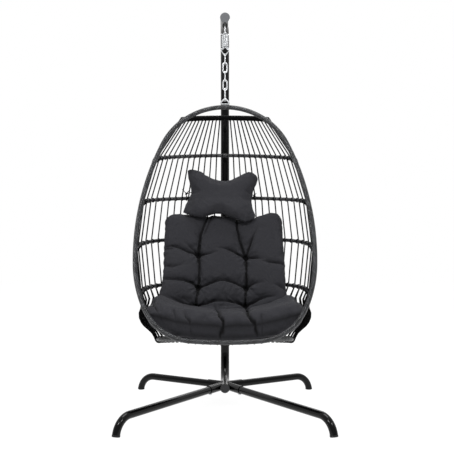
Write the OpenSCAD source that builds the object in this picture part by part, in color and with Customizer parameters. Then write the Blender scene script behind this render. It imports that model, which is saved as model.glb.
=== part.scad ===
// Hanging egg chair: a wicker-bound steel frame laced with cord, hung by a spring
// and a short chain from a C-shaped tube stand on four legs.
// X runs to the right, Y to the back and Z up. The origin is on the floor, at the
// middle of the four feet. Lengths are in millimetres, angles in degrees.

/* [Stand] */
// Distance between the feet, centre to centre, both ways
foot_spread = 910; // [880:10:940]
// Height of the centre line of the legs
leg_z = 76; // [70:1:84]
// Outer diameter of the leg tubes
leg_d = 35; // [32:1:37]
// Wall of the leg tubes
leg_wall = 1.6; // [1.2:0.1:2.4]
// Turn of the bend at the end of each leg, which leaves the foot leaning outward
leg_bend_turn = 79; // [76:1:82]
// Distance of the hub behind the middle of the feet
hub_back = 200; // [180:5:220]
// Length of a front leg socket from the hub's centre
front_socket_l = 140; // [125:1:160]
// Length of a rear leg socket from the hub's centre
rear_socket_l = 97; // [90:1:120]
// Wall of the leg sockets
socket_wall = 2.6; // [2:0.1:3.2]
// Depth by which a leg stays clear of the bottom of its socket
socket_play = 2; // [1:1:8]
// Outer diameter of the post tube
post_d = 45; // [42:1:48]
// Wall of the post tube
post_wall = 2; // [1.5:0.1:3]
// Distance of the upright post behind the middle of the feet
post_back = 400; // [385:5:430]
// Bend radius of the post above the hub
post_low_r = 145; // [130:5:155]
// Length of the post in front of the hub's centre
post_nose = 76; // [70:1:90]
// Height of the joint between the two halves of the post
joint_z = 244; // [240:1:400]
// Height of the arm's centre line
arm_z = 1873; // [1840:1:1900]
// Bend radius between the post and the arm
arm_bend_r = 330; // [250:10:345]
// Length of the arm in front of the eye
arm_overhang = 52; // [35:1:80]

/* [Hanging train] */
// Distance of the hanging line behind the middle of the feet
hang_back = 20; // [10:1:40]
// Wire of the eye under the arm
eye_wire = 7; // [6:0.5:8]
// Radius of the eye, to the wire's centre
eye_r = 9; // [9:0.5:11]
// Wire of the upper snap hook
upper_hook_wire = 6; // [5:0.5:6.5]
// Length of the upper snap hook, between the centres of its end wires
upper_hook_l = 36; // [35:1:44]
// Wire of the spring's coil
coil_wire = 5; // [4:0.5:5.5]
// Outer diameter of the coil
coil_d = 33; // [33:1:38]
// Length of the coil when nothing pulls on it
coil_l = 60; // [56:1:70]
// Turns of the coil
coil_turns = 7; // [6:1:8]
// Wire of the spring's two drawbars
drawbar_wire = 5; // [4.5:0.5:5]
// Length of the lower drawbar below the coil, to the centre of its wire
drawbar_drop = 36; // [34:1:44]
// Number of chain links between the spring and the lower hook is four; wire of a link
link_wire = 5.5; // [4.5:0.5:6]
// Pitch of the chain
link_pitch = 42; // [38:1:48]
// Outer width of a link
link_w = 24.5; // [23:0.5:28]
// Wire of the lower snap hook
lower_hook_wire = 7; // [6:0.5:7.5]
// Length of the lower snap hook, between the centres of its end wires
lower_hook_l = 58; // [54:1:66]
// Wire of the ring on the basket
ring_wire = 7; // [6:0.5:8]
// Width of the ring, between the centres of its corners
ring_w = 40; // [36:1:44]
// Height of the ring, between the centres of its wires
ring_h = 24; // [24:1:28]

/* [Basket frame] */
// Diameter of the rim with its wicker
rim_d = 22; // [20:1:24]
// Backward lean of the rim from the upright
rim_lean = 15; // [12:0.5:18]
// Radius of the rim's top
rim_top_r = 325; // [315:5:335]
// Turn of the rim's top, each side
rim_top_turn = 65.5; // [64:0.5:67]
// Radius of the rim's upper side
rim_side_r = 1275; // [1225:25:1325]
// Turn of the rim's upper side
rim_side_turn = 27; // [26:0.5:28]
// Radius of the rim's lower side
rim_low_r = 550; // [530:10:570]
// Turn of the rim's lower side
rim_low_turn = 22.5; // [21.5:0.5:23.5]
// Radius of the rim's lower corners
rim_corner_r = 242; // [236:2:248]
// Turn of the rim's lower corners
rim_corner_turn = 60.4; // [60:0.2:61]
// Diameter of the top bar
top_bar_d = 20; // [18:1:22]
// Diameter of the hoops
hoop_d = 18; // [16:1:20]
// Diameter of the bottom bar
bottom_bar_d = 20; // [18:1:22]
// Diameter of the lacing cord
cord_d = 5; // [4:0.5:6]
// Number of cords round the back
cords = 36; // [30:2:40]
// Number of cords under the seat
floor_cords = 11; // [9:2:13]

/* [Soft parts] */
// Thickness of the cushion's filling at its fullest
cushion_t = 112; // [100:2:124]
// Gap from the rim's widest place to each side of the cushion's seat
seat_gap = 50; // [40:2:70]
// Gap from the rim's widest place to each side of the cushion's back
back_gap = 105; // [95:5:120]
// Width of the head pillow
pillow_w = 355; // [320:5:370]
// Height of the head pillow
pillow_h = 232; // [200:4:240]
// Thickness of the head pillow
pillow_t = 92; // [80:2:100]

/* [Fits] */
// Play between wires that hang in one another
play = 0.3; // [0.2:0.05:0.5]
// Clearance round a tube in a socket, and round a plug in a tube
fit = 0.3; // [0.2:0.05:0.5]
// Gap left between a welded or laced end and its carrier
seam = 0.15; // [0.1:0.05:0.3]

/* [Hidden] */
$fn = 48;

PAINT = "#17181a";
PLASTIC = "#56585b";
ZINC = "#c9cdd2";
WICKER = "#26272a";
CORD = "#1b1c1e";
CLOTH = "#35363a";

// ---- sizes that follow from the ones above ----

post_r = post_d / 2;
post_bore = post_d - 2 * post_wall;
leg_r = leg_d / 2;
socket_bore = leg_d + 2 * fit;
socket_d = socket_bore + 2 * socket_wall;
foot_t = 8;
foot_sole = 3;
foot_plug_l = 12;
foot_plug_taper = 2.4;
foot_r = leg_r + 0.4;
foot_z = foot_r * cos(leg_bend_turn) - foot_sole;
leg_end_z = foot_z + (foot_t + seam) * sin(leg_bend_turn);
leg_bend_r = (leg_z - leg_end_z) / (1 - cos(leg_bend_turn));
leg_out = leg_bend_r * sin(leg_bend_turn) + (foot_t + seam) * cos(leg_bend_turn);
bolt_d = 8;
bolt_head_d = 14;
bolt_head_h = 5;
collar_h = 9;
collar_lip = 1.6;
spigot_low = joint_z - leg_z - post_low_r - 3;
spigot_up = 55;
cap_t = 3;
cap_lip = 0.8;
plug_l = 16;

// Each leg's reach and heading from the hub, counted from +X
front_dx = foot_spread / 2;
front_dy = -foot_spread / 2 - hub_back;
rear_dy = foot_spread / 2 - hub_back;
front_reach = norm([front_dx, front_dy]);
rear_reach = norm([front_dx, rear_dy]);
front_turn = atan2(front_dy, front_dx);
rear_turn = atan2(rear_dy, front_dx);

// Heights of the wires in the hanging train, from the top down
arm_low = arm_z - post_r;
eye_drop = 3;
eye_z = arm_low - eye_drop - eye_r;
upper_hook_top = eye_z + (eye_wire + upper_hook_wire) / 2 + play;
upper_hook_low = upper_hook_top - upper_hook_l;
upper_bar_top = upper_hook_low + (upper_hook_wire + drawbar_wire) / 2 + play;
coil_gap = 12.5;
coil_top = upper_bar_top - coil_gap;
coil_low = coil_top - coil_l;
lower_bar_apex = coil_low - drawbar_drop;
link_l = link_pitch + link_wire + play;
link_a_top = lower_bar_apex + (drawbar_wire + link_wire) / 2 + play;
link_b_top = link_a_top - link_pitch;
link_c_top = link_b_top - link_pitch;
link_d_top = link_c_top - link_pitch;
lower_hook_top = link_d_top - link_l + (link_wire + lower_hook_wire) / 2 + play;
lower_hook_low = lower_hook_top - lower_hook_l;
ring_top = lower_hook_low + (lower_hook_wire + ring_wire) / 2 + play;
ring_low = ring_top - ring_h;
rim_top_z = ring_low - ring_wire / 2 - seam - rim_d / 2;
upper_hook_r = eye_r;
lower_hook_r = 12;

// Half of the rim from its top to its bottom, as [radius, turn] bends. The last bend
// closes the loop on the middle line.
rim_bottom_turn = 180 - rim_top_turn - rim_side_turn - rim_low_turn - rim_corner_turn;
rim_four = [[rim_top_r, rim_top_turn], [rim_side_r, rim_side_turn],
    [rim_low_r, rim_low_turn], [rim_corner_r, rim_corner_turn]];
rim_bottom_r = along(rim_four, run_of(rim_four))[0] / sin(rim_bottom_turn);
rim_half = concat(rim_four, [[rim_bottom_r, rim_bottom_turn]]);
rim_drop = along(rim_half, run_of(rim_half))[1];
rim_foot = in_rim(0, rim_drop);

// Half the rim's inner width at its widest place, where it runs straight down
rim_inside = rim_top_r * sin(rim_top_turn) + rim_side_r * (1 - sin(rim_top_turn)) - rim_d / 2;

// A hoop: [distance down the rim, rise to the back, depth, corner radius, back radius]
TOP_BAR = [72, 13.5, 175, 95, 380];
SHOULDER = [280, 11.5, 300, 140, 520];
HEAD = [492, 7.5, 370, 165, 620];
WAIST = [rim_drop - 416, 8, 400, 175, 640];
SEAT = [rim_drop - 209, 5.5, 365, 170, 620];

// The bottom bar: distance down the rim, rise, and its straight and bent lengths
bottom_above = 13.3;
bottom_drop = rim_drop - bottom_above;
bottom_rise = -8;
bottom_flare = 40;
bottom_arm = 128;
bottom_r = 130;

// ---- paths in a plane ----
// A path is a list of steps: [length] runs straight and [radius, turn] bends, to the
// left where the turn is positive. It starts at [0, 0] towards +X.

function step_len(s) = len(s) == 1 ? s[0] : s[0] * abs(s[1]) * PI / 180;
function run_of(path, i = 0) = i >= len(path) ? 0 : step_len(path[i]) + run_of(path, i + 1);
function turned(p, a) = [p[0] * cos(a) - p[1] * sin(a), p[0] * sin(a) + p[1] * cos(a)];

// Where a step of length s ends: [x, y, heading]
function step_end(st, s) =
    len(st) == 1 ? [s, 0, 0] :
    let (a = sign(st[1]) * s / st[0] * 180 / PI)
    [st[0] * sin(abs(a)), sign(st[1]) * st[0] * (1 - cos(a)), a];

// The point at length s along a path: [x, y, heading]
function along(path, s, i = 0, at = [0, 0, 0]) =
    let (l = step_len(path[i]), last = i == len(path) - 1 || s <= l)
    let (e = step_end(path[i], last ? s : l), p = turned([e[0], e[1]], at[2]))
    let (now = [at[0] + p[0], at[1] + p[1], at[2] + e[2]])
    last ? now : along(path, s - l, i + 1, now);

// Lengths along a path at the ends of its steps and within its bends, close enough that
// straight runs between them leave the bends by no more than slack
function spots(path, slack, i = 0, s = 0) =
    i == len(path) ? [s] :
    let (st = path[i], l = step_len(st))
    let (n = len(st) == 1 ? 1 : ceil(abs(st[1]) / (2 * acos(1 - slack / st[0]))))
    concat([for (k = [0 : n - 1]) s + l * k / n], spots(path, slack, i + 1, s + l));

// A round bar, or a tube where wall is given, along a path
module bent(path, d, wall = 0, i = 0) {
    if (i < len(path)) {
        st = path[i];
        e = step_end(st, step_len(st));
        if (len(st) == 1)
            rotate([0, 90, 0])
                linear_extrude(st[0])
                    section(d, wall);
        else
            mirror([0, st[1] < 0 ? 1 : 0, 0])
                translate([0, st[0], 0])
                    rotate([0, 0, -90])
                        rotate_extrude(angle = abs(st[1]))
                            translate([st[0], 0])
                                section(d, wall);
        translate([e[0], e[1], 0])
            rotate([0, 0, e[2]])
                bent(path, d, wall, i + 1);
    }
}

module section(d, wall) {
    difference() {
        circle(d = d);
        if (wall > 0)
            circle(d = d - 2 * wall);
    }
}

// ---- tubes swept through points in space ----

function unit(v) = v / norm(v);
function flat_to(v, t) = v - (v * t) * t;

// Direction of the run from point i to the next, and the mean of the runs that meet at i
function run_at(p, i) = let (n = len(p)) unit(p[(i + 1) % n] - p[(i + n) % n]);
function heading(p, i, closed) =
    !closed && i == 0 ? run_at(p, 0) :
    !closed && i == len(p) - 1 ? run_at(p, i - 1) :
    unit(run_at(p, i) + run_at(p, i + len(p) - 1));

// A side vector for each point, carried along without twist
function sides_of(p, closed, was, i = 0) =
    i == len(p) ? [] :
    let (n = unit(flat_to(was, heading(p, i, closed))))
    concat([n], sides_of(p, closed, n, i + 1));

// Solid tube through the points. Start is a direction that is not along the first run.
// Ends may be cut along planes, given as [a point, the plane's normal].
module swept(p, d, start = [1, 0, 0], sides = 8, closed = false, cuts = []) {
    n = sides_of(p, closed, start);
    last = len(p) - 1;
    ring = [for (i = [0 : last])
        let (t = heading(p, i, closed), b = cross(t, n[i]))
        let (cut = i == 0 ? cuts[0] : i == last ? cuts[1] : undef)
        for (j = [0 : sides - 1])
            let (a = (j + 0.5) * 360 / sides, v = d / 2 * (cos(a) * n[i] + sin(a) * b))
            let (q = p[i] + v)
            is_undef(cut) ? q : q + t * ((cut[0] - q) * cut[1]) / (t * cut[1])];
    walls = [for (i = [0 : closed ? last : last - 1], j = [0 : sides - 1])
        let (k = (i + 1) % len(p), j2 = (j + 1) % sides)
        each [[i * sides + j, k * sides + j2, i * sides + j2],
            [i * sides + j, k * sides + j, k * sides + j2]]];
    foot = [for (j = [1 : sides - 2]) [0, j, j + 1]];
    head = [for (j = [1 : sides - 2]) [last * sides, last * sides + j + 1, last * sides + j]];
    polyhedron(ring, closed ? walls : concat(walls, foot, head));
}

// ---- places in the basket ----
// The rim lies in a plane that leans back. A place is [across, distance down the rim's
// plane from its top, distance behind the plane].

function in_rim(u, v, w = 0) = [u, hang_back - v * sin(rim_lean) + w * cos(rim_lean),
    rim_top_z - v * cos(rim_lean) - w * sin(rim_lean)];

// Half width of the rim's centre line, and its heading, at a distance down the plane
function rim_at(v, lo = 0, hi = run_of(rim_half), n = 24) =
    let (mid = (lo + hi) / 2, p = along(rim_half, mid))
    n == 0 ? p : p[1] < v ? rim_at(v, mid, hi, n - 1) : rim_at(v, lo, mid, n - 1);

// A hoop's path from the rim's right side round the back to its left side
function hoop_path(h) =
    let (w = rim_at(h[0])[0], s = asin((w - h[3]) / (h[4] - h[3])))
    let (side = h[2] - h[4] + (h[4] - h[3]) * cos(s))
    [[side], [h[3], 90 - s], [h[4], 2 * s], [h[3], 90 - s], [side]];

function bottom_path() =
    let (w = rim_at(bottom_drop)[0], turn = 90 + bottom_flare)
    let (half = w + bottom_arm * sin(bottom_flare) - bottom_r * cos(bottom_flare))
    [[bottom_arm], [bottom_r, turn], [2 * half], [bottom_r, turn], [bottom_arm]];

// A point on a bar round the back, moved out of the bar's own plane path by out
function on_bar(drop, rise, path, first, s, out) =
    let (o = in_rim(0, drop), e = along(path, s), w = rim_at(drop)[0])
    let (q = turned([e[0], e[1]], first), a = e[2] + first)
    let (x = w + q[0] + out * sin(a), d = q[1] - out * cos(a))
    [x, o[1] + d * cos(rise), o[2] + d * sin(rise)];

// The plane that cuts a bar's end where it meets the rim on one side, for a bar that
// leaves the rim in direction h: [a point, the plane's normal]
function rim_cut(drop, side, h) =
    let (at = rim_at(drop), a = in_rim(side * at[0], drop))
    let (t = unit(in_rim(side * (at[0] + cos(at[2])), drop + sin(at[2])) - a))
    let (n = unit(flat_to(h, t)))
    [a + (rim_d / 2 + seam) * n, n];

// A bar round the back, from the rim's right side to its left
module back_bar(drop, rise, path, first, d) {
    p = [for (s = spots(path, 0.6)) on_bar(drop, rise, path, first, s, 0)];
    last = len(p) - 1;
    swept(p, d, [0, -sin(rise), cos(rise)], 10,
        cuts = [rim_cut(drop, 1, p[1] - p[0]), rim_cut(drop, -1, p[last - 1] - p[last])]);
}

module hoop(h, d) {
    back_bar(h[0], h[1], hoop_path(h), 90, d);
}

// ---- stand ----

module base_hub() {
    color(PAINT)
        difference() {
            union() {
                translate([0, hub_back - post_nose, leg_z])
                    low_post(post_d);
                sockets(socket_d, 0);
            }
            translate([0, hub_back - post_nose - 1, leg_z])
                low_post(post_bore, 1);
            sockets(socket_bore, 1);
            bolt_places()
                cylinder(d = bolt_d + 2 * fit, h = leg_z);
        }
}

// The lower half of the post, from its nose back and up to the joint
module low_post(d, over = 0) {
    rotate([90, 0, 90])
        bent([[post_back - post_low_r - hub_back + post_nose + over], [post_low_r, 90],
            [joint_z - leg_z - post_low_r + over]], d);
}

// Distance from the hub's centre at which a socket's bore clears the post
function bore_from(turn) = (post_r + socket_bore / 2 * abs(sin(turn))) / abs(cos(turn)) + 1;

module sockets(d, bore) {
    for (mirrored = [0, 1])
        mirror([mirrored, 0, 0])
            translate([0, hub_back, leg_z]) {
                socket(front_turn, front_socket_l, d, bore);
                socket(rear_turn, rear_socket_l, d, bore);
            }
}

module socket(turn, l, d, bore) {
    from = bore > 0 ? bore_from(turn) : 0;
    rotate([0, 0, turn])
        rotate([0, 90, 0])
            translate([0, 0, from])
                cylinder(d = d, h = l - from + bore);
}

// Places the children under each leg's bolt, on the floor
module bolt_places() {
    inset = 14;
    for (mirrored = [0, 1])
        mirror([mirrored, 0, 0])
            for (b = [[front_turn, front_socket_l], [rear_turn, rear_socket_l]])
                translate([0, hub_back, 0])
                    rotate([0, 0, b[0]])
                        translate([b[1] - inset, 0, 0])
                            children();
}

// A bolt from below through the socket's lower wall and the leg's lower wall
module leg_bolts() {
    under = leg_z - socket_d / 2;
    color(ZINC)
        bolt_places() {
            translate([0, 0, under - bolt_head_h - seam])
                cylinder(d = bolt_head_d, h = bolt_head_h, $fn = 6);
            translate([0, 0, under - seam - 0.5])
                cylinder(d = bolt_d, h = socket_wall + fit + leg_wall + 9);
        }
}

module leg(turn, reach, socket_l, left) {
    start = bore_from(turn) + socket_play;
    color(PAINT)
        mirror([left ? 1 : 0, 0, 0])
            translate([0, hub_back, leg_z])
                rotate([0, 0, turn])
                    difference() {
                        translate([start, 0, 0])
                            rotate([90, 0, 0])
                                bent([[reach - leg_out - start], [leg_bend_r, -leg_bend_turn]],
                                    leg_d, leg_wall);
                        translate([socket_l - 14, 0, -leg_z])
                            cylinder(d = bolt_d + 2 * fit, h = leg_z);
                    }
}

module leg_front_left() {
    leg(front_turn, front_reach, front_socket_l, true);
}

module leg_front_right() {
    leg(front_turn, front_reach, front_socket_l, false);
}

module leg_rear_left() {
    leg(rear_turn, rear_reach, rear_socket_l, true);
}

module leg_rear_right() {
    leg(rear_turn, rear_reach, rear_socket_l, false);
}

// A plug in each leg's open end, with its lip cut flat where it stands on the floor
module foot_caps() {
    color(PLASTIC)
        for (mirrored = [0, 1])
            mirror([mirrored, 0, 0]) {
                foot_cap(front_turn, front_reach);
                foot_cap(rear_turn, rear_reach);
            }
}

module foot_cap(turn, reach) {
    plug_d = leg_d - 2 * leg_wall - 2 * fit;
    difference() {
        translate([0, hub_back, 0])
            rotate([0, 0, turn])
                translate([reach, 0, foot_z])
                    rotate([0, leg_bend_turn - 90, 0]) {
                        cylinder(r = foot_r, h = foot_t);
                        translate([0, 0, foot_t])
                            cylinder(d1 = plug_d, d2 = plug_d - foot_plug_taper, h = foot_plug_l);
                    }
        translate([-foot_spread, -foot_spread, -foot_r])
            cube([2 * foot_spread, 2 * foot_spread, foot_r]);
    }
}

// A plug with a flat lip for the open end of the post tube, facing -Y
module tube_plug() {
    rotate([90, 0, 0]) {
        cylinder(d = post_d + 2 * cap_lip, h = cap_t - 1);
        translate([0, 0, cap_t - 1])
            cylinder(d1 = post_d + 2 * cap_lip, d2 = post_d + 2 * cap_lip - 2, h = 1);
        translate([0, 0, -plug_l])
            difference() {
                cylinder(d = post_bore - 2 * fit, h = plug_l + 0.5);
                translate([0, 0, -1])
                    cylinder(d = post_bore - 2 * fit - 4, h = plug_l);
            }
    }
}

module hub_cap() {
    color(PLASTIC)
        translate([0, hub_back - post_nose - seam, leg_z])
            tube_plug();
}

module arm_cap() {
    color(PLASTIC)
        translate([0, hang_back - arm_overhang - seam, arm_z])
            tube_plug();
}

// The ring between the two halves of the post, with a sleeve into each
module post_collar() {
    color(PAINT)
        translate([0, post_back, joint_z + seam])
            difference() {
                union() {
                    cylinder(d = post_d + 2 * collar_lip, h = collar_h);
                    translate([0, 0, -spigot_low])
                        cylinder(d = post_bore - 2 * fit, h = spigot_low + collar_h + spigot_up);
                }
                translate([0, 0, -spigot_low - 1])
                    cylinder(d = post_bore - 2 * fit - 2 * post_wall,
                        h = spigot_low + collar_h + spigot_up + 2);
            }
}

module upper_post() {
    from = joint_z + collar_h + 2 * seam;
    color(PAINT)
        translate([0, post_back, from])
            rotate([0, 0, 180])
                rotate([0, -90, 0])
                    rotate([0, 0, 0])
                        bent([[arm_z - arm_bend_r - from], [arm_bend_r, 90],
                            [post_back - arm_bend_r - hang_back + arm_overhang]], post_d, post_wall);
}

// A wire staple welded under the arm
module arm_eye() {
    color(PAINT)
        translate([0, hang_back, arm_low - eye_drop])
            difference() {
                rotate([90, 0, 0]) {
                    rotate([0, 0, 180])
                        rotate_extrude(angle = 180)
                            translate([eye_r, 0])
                                circle(d = eye_wire);
                    for (side = [-1, 1])
                        translate([side * eye_r, 0, 0])
                            rotate([-90, 0, 0])
                                cylinder(d = eye_wire, h = post_r);
                }
                translate([0, 0, eye_drop + post_r])
                    rotate([90, 0, 0])
                        cylinder(d = post_d + 2 * seam, h = 60, center = true);
            }
}

// ---- hanging train ----

// A long link in the XZ plane from the centre of its top wire down
module long_link(l, r, wire) {
    rotate([90, 0, 0])
        translate([-r, -r, 0])
            rotate([0, 0, -90])
                bent([[l - 2 * r], [r, 180], [l - 2 * r], [r, 180]], wire);
}

module chain_link(top, cross_way) {
    color(ZINC)
        translate([0, hang_back, top])
            rotate([0, 0, cross_way ? 90 : 0])
                long_link(link_l, (link_w - link_wire) / 2, link_wire);
}

module link_a() {
    chain_link(link_a_top, true);
}

module link_b() {
    chain_link(link_b_top, false);
}

module link_c() {
    chain_link(link_c_top, true);
}

module link_d() {
    chain_link(link_d_top, false);
}

// Snap hook: an oval in the YZ plane with a sprung gate in its front side. The gate's
// pin sits tang_up above the lower bend.
function tang_up(wire) = wire / 2 + 0.4;
tang_t = 2;
pin_d = 2;
pin_play = 0.06;
gate_play = 0.5;

module hook_body(top, l, r, wire) {
    color(ZINC)
        translate([0, hang_back, top - l + r]) {
            difference() {
                translate([0, 0, l - r])
                    rotate([0, 0, 90])
                        long_link(l, r, wire);
                translate([-wire, -r - wire, 0])
                    cube([2 * wire, 2 * wire, l - 2 * r]);
            }
            difference() {
                union() {
                    translate([-tang_t / 2, -r - wire * 0.4, -0.5])
                        cube([tang_t, wire * 0.8, tang_up(wire) + 0.5]);
                    translate([0, -r, tang_up(wire)])
                        rotate([0, 90, 0])
                            cylinder(d = wire * 0.8, h = tang_t, center = true);
                }
                translate([0, -r, tang_up(wire)])
                    rotate([0, 90, 0])
                        cylinder(d = pin_d + 2 * pin_play, h = 2 * tang_t, center = true);
            }
        }
}

module hook_gate(top, l, r, wire) {
    color(ZINC)
        translate([0, hang_back - r, top - l + r + tang_up(wire)]) {
            difference() {
                union() {
                    sphere(d = wire - 0.2);
                    cylinder(d = wire - 0.2, h = l - 2 * r - tang_up(wire) - gate_play);
                }
                translate([-tang_t / 2 - 0.25, -wire, -wire])
                    cube([tang_t + 0.5, 2 * wire, wire * 1.45 + 0.4]);
            }
            rotate([0, 90, 0])
                cylinder(d = pin_d, h = wire - 1.6, center = true);
        }
}

module upper_hook() {
    hook_body(upper_hook_top, upper_hook_l, upper_hook_r, upper_hook_wire);
}

module upper_gate() {
    hook_gate(upper_hook_top, upper_hook_l, upper_hook_r, upper_hook_wire);
}

module lower_hook() {
    hook_body(lower_hook_top, lower_hook_l, lower_hook_r, lower_hook_wire);
}

module lower_gate() {
    hook_gate(lower_hook_top, lower_hook_l, lower_hook_r, lower_hook_wire);
}

// The coil's wire rises at one rate; each end runs straight for one diameter
coil_r = (coil_d - coil_wire) / 2;
coil_rings = 8;
coil_rise = coil_l - coil_wire;
coil_curl = [for (i = [0 : coil_turns * coil_rings])
    let (a = i * 360 / coil_rings)
    [coil_r * cos(a), coil_r * sin(a), coil_rise * i / (coil_turns * coil_rings)]];
coil_last = coil_curl[len(coil_curl) - 1];
coil_points = concat([coil_curl[0] - [0, coil_wire, 0]], coil_curl, [coil_last + [0, coil_wire, 0]]);

// Least gap between one turn of the coil and the next
coil_self_gap = min([for (i = [0 : len(coil_points) - 1], j = [0 : len(coil_points) - 1])
    if (j > i + coil_rings / 2) norm(coil_points[i] - coil_points[j])]) - coil_wire;
echo(coil_self_gap = coil_self_gap);

module spring_coil() {
    color(ZINC)
        translate([0, hang_back, coil_low + coil_wire / 2])
            swept(coil_points, coil_wire, [0, 0, 1], 6);
}

// A drawbar from its far hooked tip, through the coil and round its loop. Its legs
// lie side_y off the coil's middle, and each tip bends outwards over the coil's end.
bar_leg_x = 6;
bar_leg_y = 4;
bar_tip_x = coil_r + coil_wire / 2 + 4;
bar_seat = drawbar_wire / 2 + play;

function arc_points(c, r, from, to, n) = [for (i = [0 : n])
    let (a = from + (to - from) * i / n)
    [c[0] + r * cos(a), c[1] + r * sin(a)]];

// Upper: loop above the coil and tips under it. Lower: loop below and tips on top.
module drawbar(loop_z, near_end, far_end, off_y, wide) {
    up = loop_z > far_end ? 1 : -1;
    bend = 4;
    tip_z = far_end - up * bar_seat;
    bend_z = tip_z + up * bend;
    neck_z = near_end + up * (bar_seat + 3);
    lobe_r = 6.5;
    half = concat(
        [[bar_tip_x, off_y, tip_z], [bar_leg_x + bend, off_y, tip_z],
            [bar_leg_x + bend * 0.3, off_y, tip_z + up * bend * 0.3],
            [bar_leg_x, off_y, bend_z]],
        [[bar_leg_x, off_y, near_end - up * 4]],
        wide ? [[bar_leg_x + 2, off_y * 0.9, neck_z], [bar_tip_x - 3, off_y * 0.5, neck_z + up * 5],
            [bar_tip_x - 1.5, off_y * 0.35, neck_z + up * 8]] : [],
        [for (a = [15 : 25 : 65]) [lobe_r * cos(a), 0, loop_z - up * lobe_r * (1 - sin(a))]],
        [[0, 0, loop_z]]);
    other = [for (i = [len(half) - 2 : -1 : 0]) [-half[i][0], half[i][1], half[i][2]]];
    color(ZINC)
        translate([0, hang_back, 0])
            swept(concat(half, other), drawbar_wire, [0, 1, 0], 8);
}

module upper_drawbar() {
    drawbar(upper_bar_top, coil_top, coil_low, bar_leg_y, false);
}

module lower_drawbar() {
    drawbar(lower_bar_apex, coil_low, coil_top, -bar_leg_y, true);
}

// ---- basket ----

// A wire triangle welded on the rim: two tight corners below and a wide one on top
module hang_ring() {
    corner_r = 6;
    top_r = 9;
    half = ring_w / 2 - corner_r;
    high = ring_h - corner_r - top_r;
    apart = norm([half, high]);
    slope = atan2(high, half) + asin((top_r - corner_r) / apart);
    side = sqrt(pow(apart, 2) - pow(top_r - corner_r, 2));
    path = [[2 * half], [corner_r, 180 - slope], [side], [top_r, 2 * slope],
        [side], [corner_r, 180 - slope]];
    run = spots(path, 0.12);
    p = [for (i = [0 : len(run) - 2]) let (e = along(path, run[i]))
        [e[0] - half, hang_back, ring_low + e[1]]];
    color(PAINT)
        swept(p, ring_wire, [0, 1, 0], 8, closed = true);
}

module rim() {
    half = [for (s = spots(rim_half, 0.6)) let (e = along(rim_half, s)) in_rim(e[0], e[1])];
    other = [for (i = [len(half) - 2 : -1 : 1]) [-half[i][0], half[i][1], half[i][2]]];
    color(WICKER)
        swept(concat(half, other), rim_d, in_rim(0, 0, 1) - in_rim(0, 0, 0), 12, closed = true);
}

module top_bar() {
    color(CORD)
        hoop(TOP_BAR, top_bar_d);
}

module shoulder_hoop() {
    color(WICKER)
        hoop(SHOULDER, hoop_d);
}

module head_hoop() {
    color(WICKER)
        hoop(HEAD, hoop_d);
}

module waist_hoop() {
    color(WICKER)
        hoop(WAIST, hoop_d);
}

module seat_hoop() {
    color(WICKER)
        hoop(SEAT, hoop_d);
}

module bottom_bar() {
    color(CORD)
        back_bar(bottom_drop, bottom_rise, bottom_path(), 90 - bottom_flare, bottom_bar_d);
}

// The bars that the cords are laced over, from the top: [distance down the rim, rise,
// path, first heading, diameter, length left bare at each end]
function laced_hoop(h, d) = [h[0], h[1], hoop_path(h), 90, d, 26];
bottom_bare = bottom_arm + bottom_r * (bottom_flare - 8) * PI / 180;
LACED = [laced_hoop(TOP_BAR, top_bar_d), laced_hoop(SHOULDER, hoop_d),
    laced_hoop(HEAD, hoop_d), laced_hoop(WAIST, hoop_d), laced_hoop(SEAT, hoop_d),
    [bottom_drop, bottom_rise, bottom_path(), 90 - bottom_flare, bottom_bar_d, bottom_bare]];

// A point on a laced bar, a share t of the way round it and moved by a length step
function laced_at(b, t, step = 0) =
    on_bar(b[0], b[1], b[2], b[3], b[5] + t * (run_of(b[2]) - 2 * b[5]) + step, 0);

// The points where a cord bends over the bars. It lies outside each bar, square to both.
function lacing(t) =
    let (c = [for (b = LACED) laced_at(b, t)], last = len(LACED) - 1)
    [for (k = [0 : last])
        let (b = LACED[k], bar = unit(laced_at(b, t, 1) - laced_at(b, t, -1)))
        let (to = unit(c[max(k, 1)] - c[max(k, 1) - 1]))
        let (off = unit(c[min(k, last - 1) + 1] - c[min(k, last - 1)]), run = unit(to + off))
        c[k] + unit(cross(run, bar)) * ((b[4] + cord_d) / 2 + seam) / (to * run)];

module side_cords() {
    color(CORD)
        for (i = [0 : cords - 1]) {
            p = lacing((i + 0.5) / cords);
            top = p[0] + 8 * unit(p[0] - p[1]);
            low = p[5] + 5 * unit(p[5] - p[4]);
            swept(concat([top], [for (k = [1 : 4]) p[k]], [low]), cord_d, [1, 0, 0.2], 6);
        }
}

// Cords under the seat, from under the rim to under the back of the bottom bar
module floor_cords_set() {
    half = bottom_path()[2][0] / 2;
    depth = bottom_arm * cos(bottom_flare) + bottom_r * (1 + sin(bottom_flare));
    back = in_rim(0, bottom_drop) + depth * [0, cos(bottom_rise), sin(bottom_rise)];
    rim_run = run_of(rim_half);
    color(CORD)
        for (i = [0 : floor_cords - 1]) {
            x = half * (2 * (i + 0.5) / floor_cords - 1);
            r = along(rim_half, rim_run - abs(x));
            front = in_rim(sign(x) * r[0], r[1]);
            run = unit(back + [x, 0, 0] - front);
            under = unit(cross(run, [1, 0, 0]));
            swept([front + under * ((rim_d + cord_d) / 2 + 3 * seam) - run,
                back + [x, 0, 0] + under * ((bottom_bar_d + cord_d) / 2 + seam) + 4 * run],
                cord_d, [1, 0, 0], 6);
        }
}

// ---- soft parts ----

function between(a, b, t) = a + (b - a) * min(1, max(0, t));

// Share of the full filling at a distance from an edge that is rounded over a length r
function crown(d, r) = d >= r ? 1 : sqrt(max(0, 1 - pow(1 - d / r, 2)));

// A dent's share at a distance from its middle
function dent(d, wide) = exp(-pow(d / wide, 2));

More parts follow.
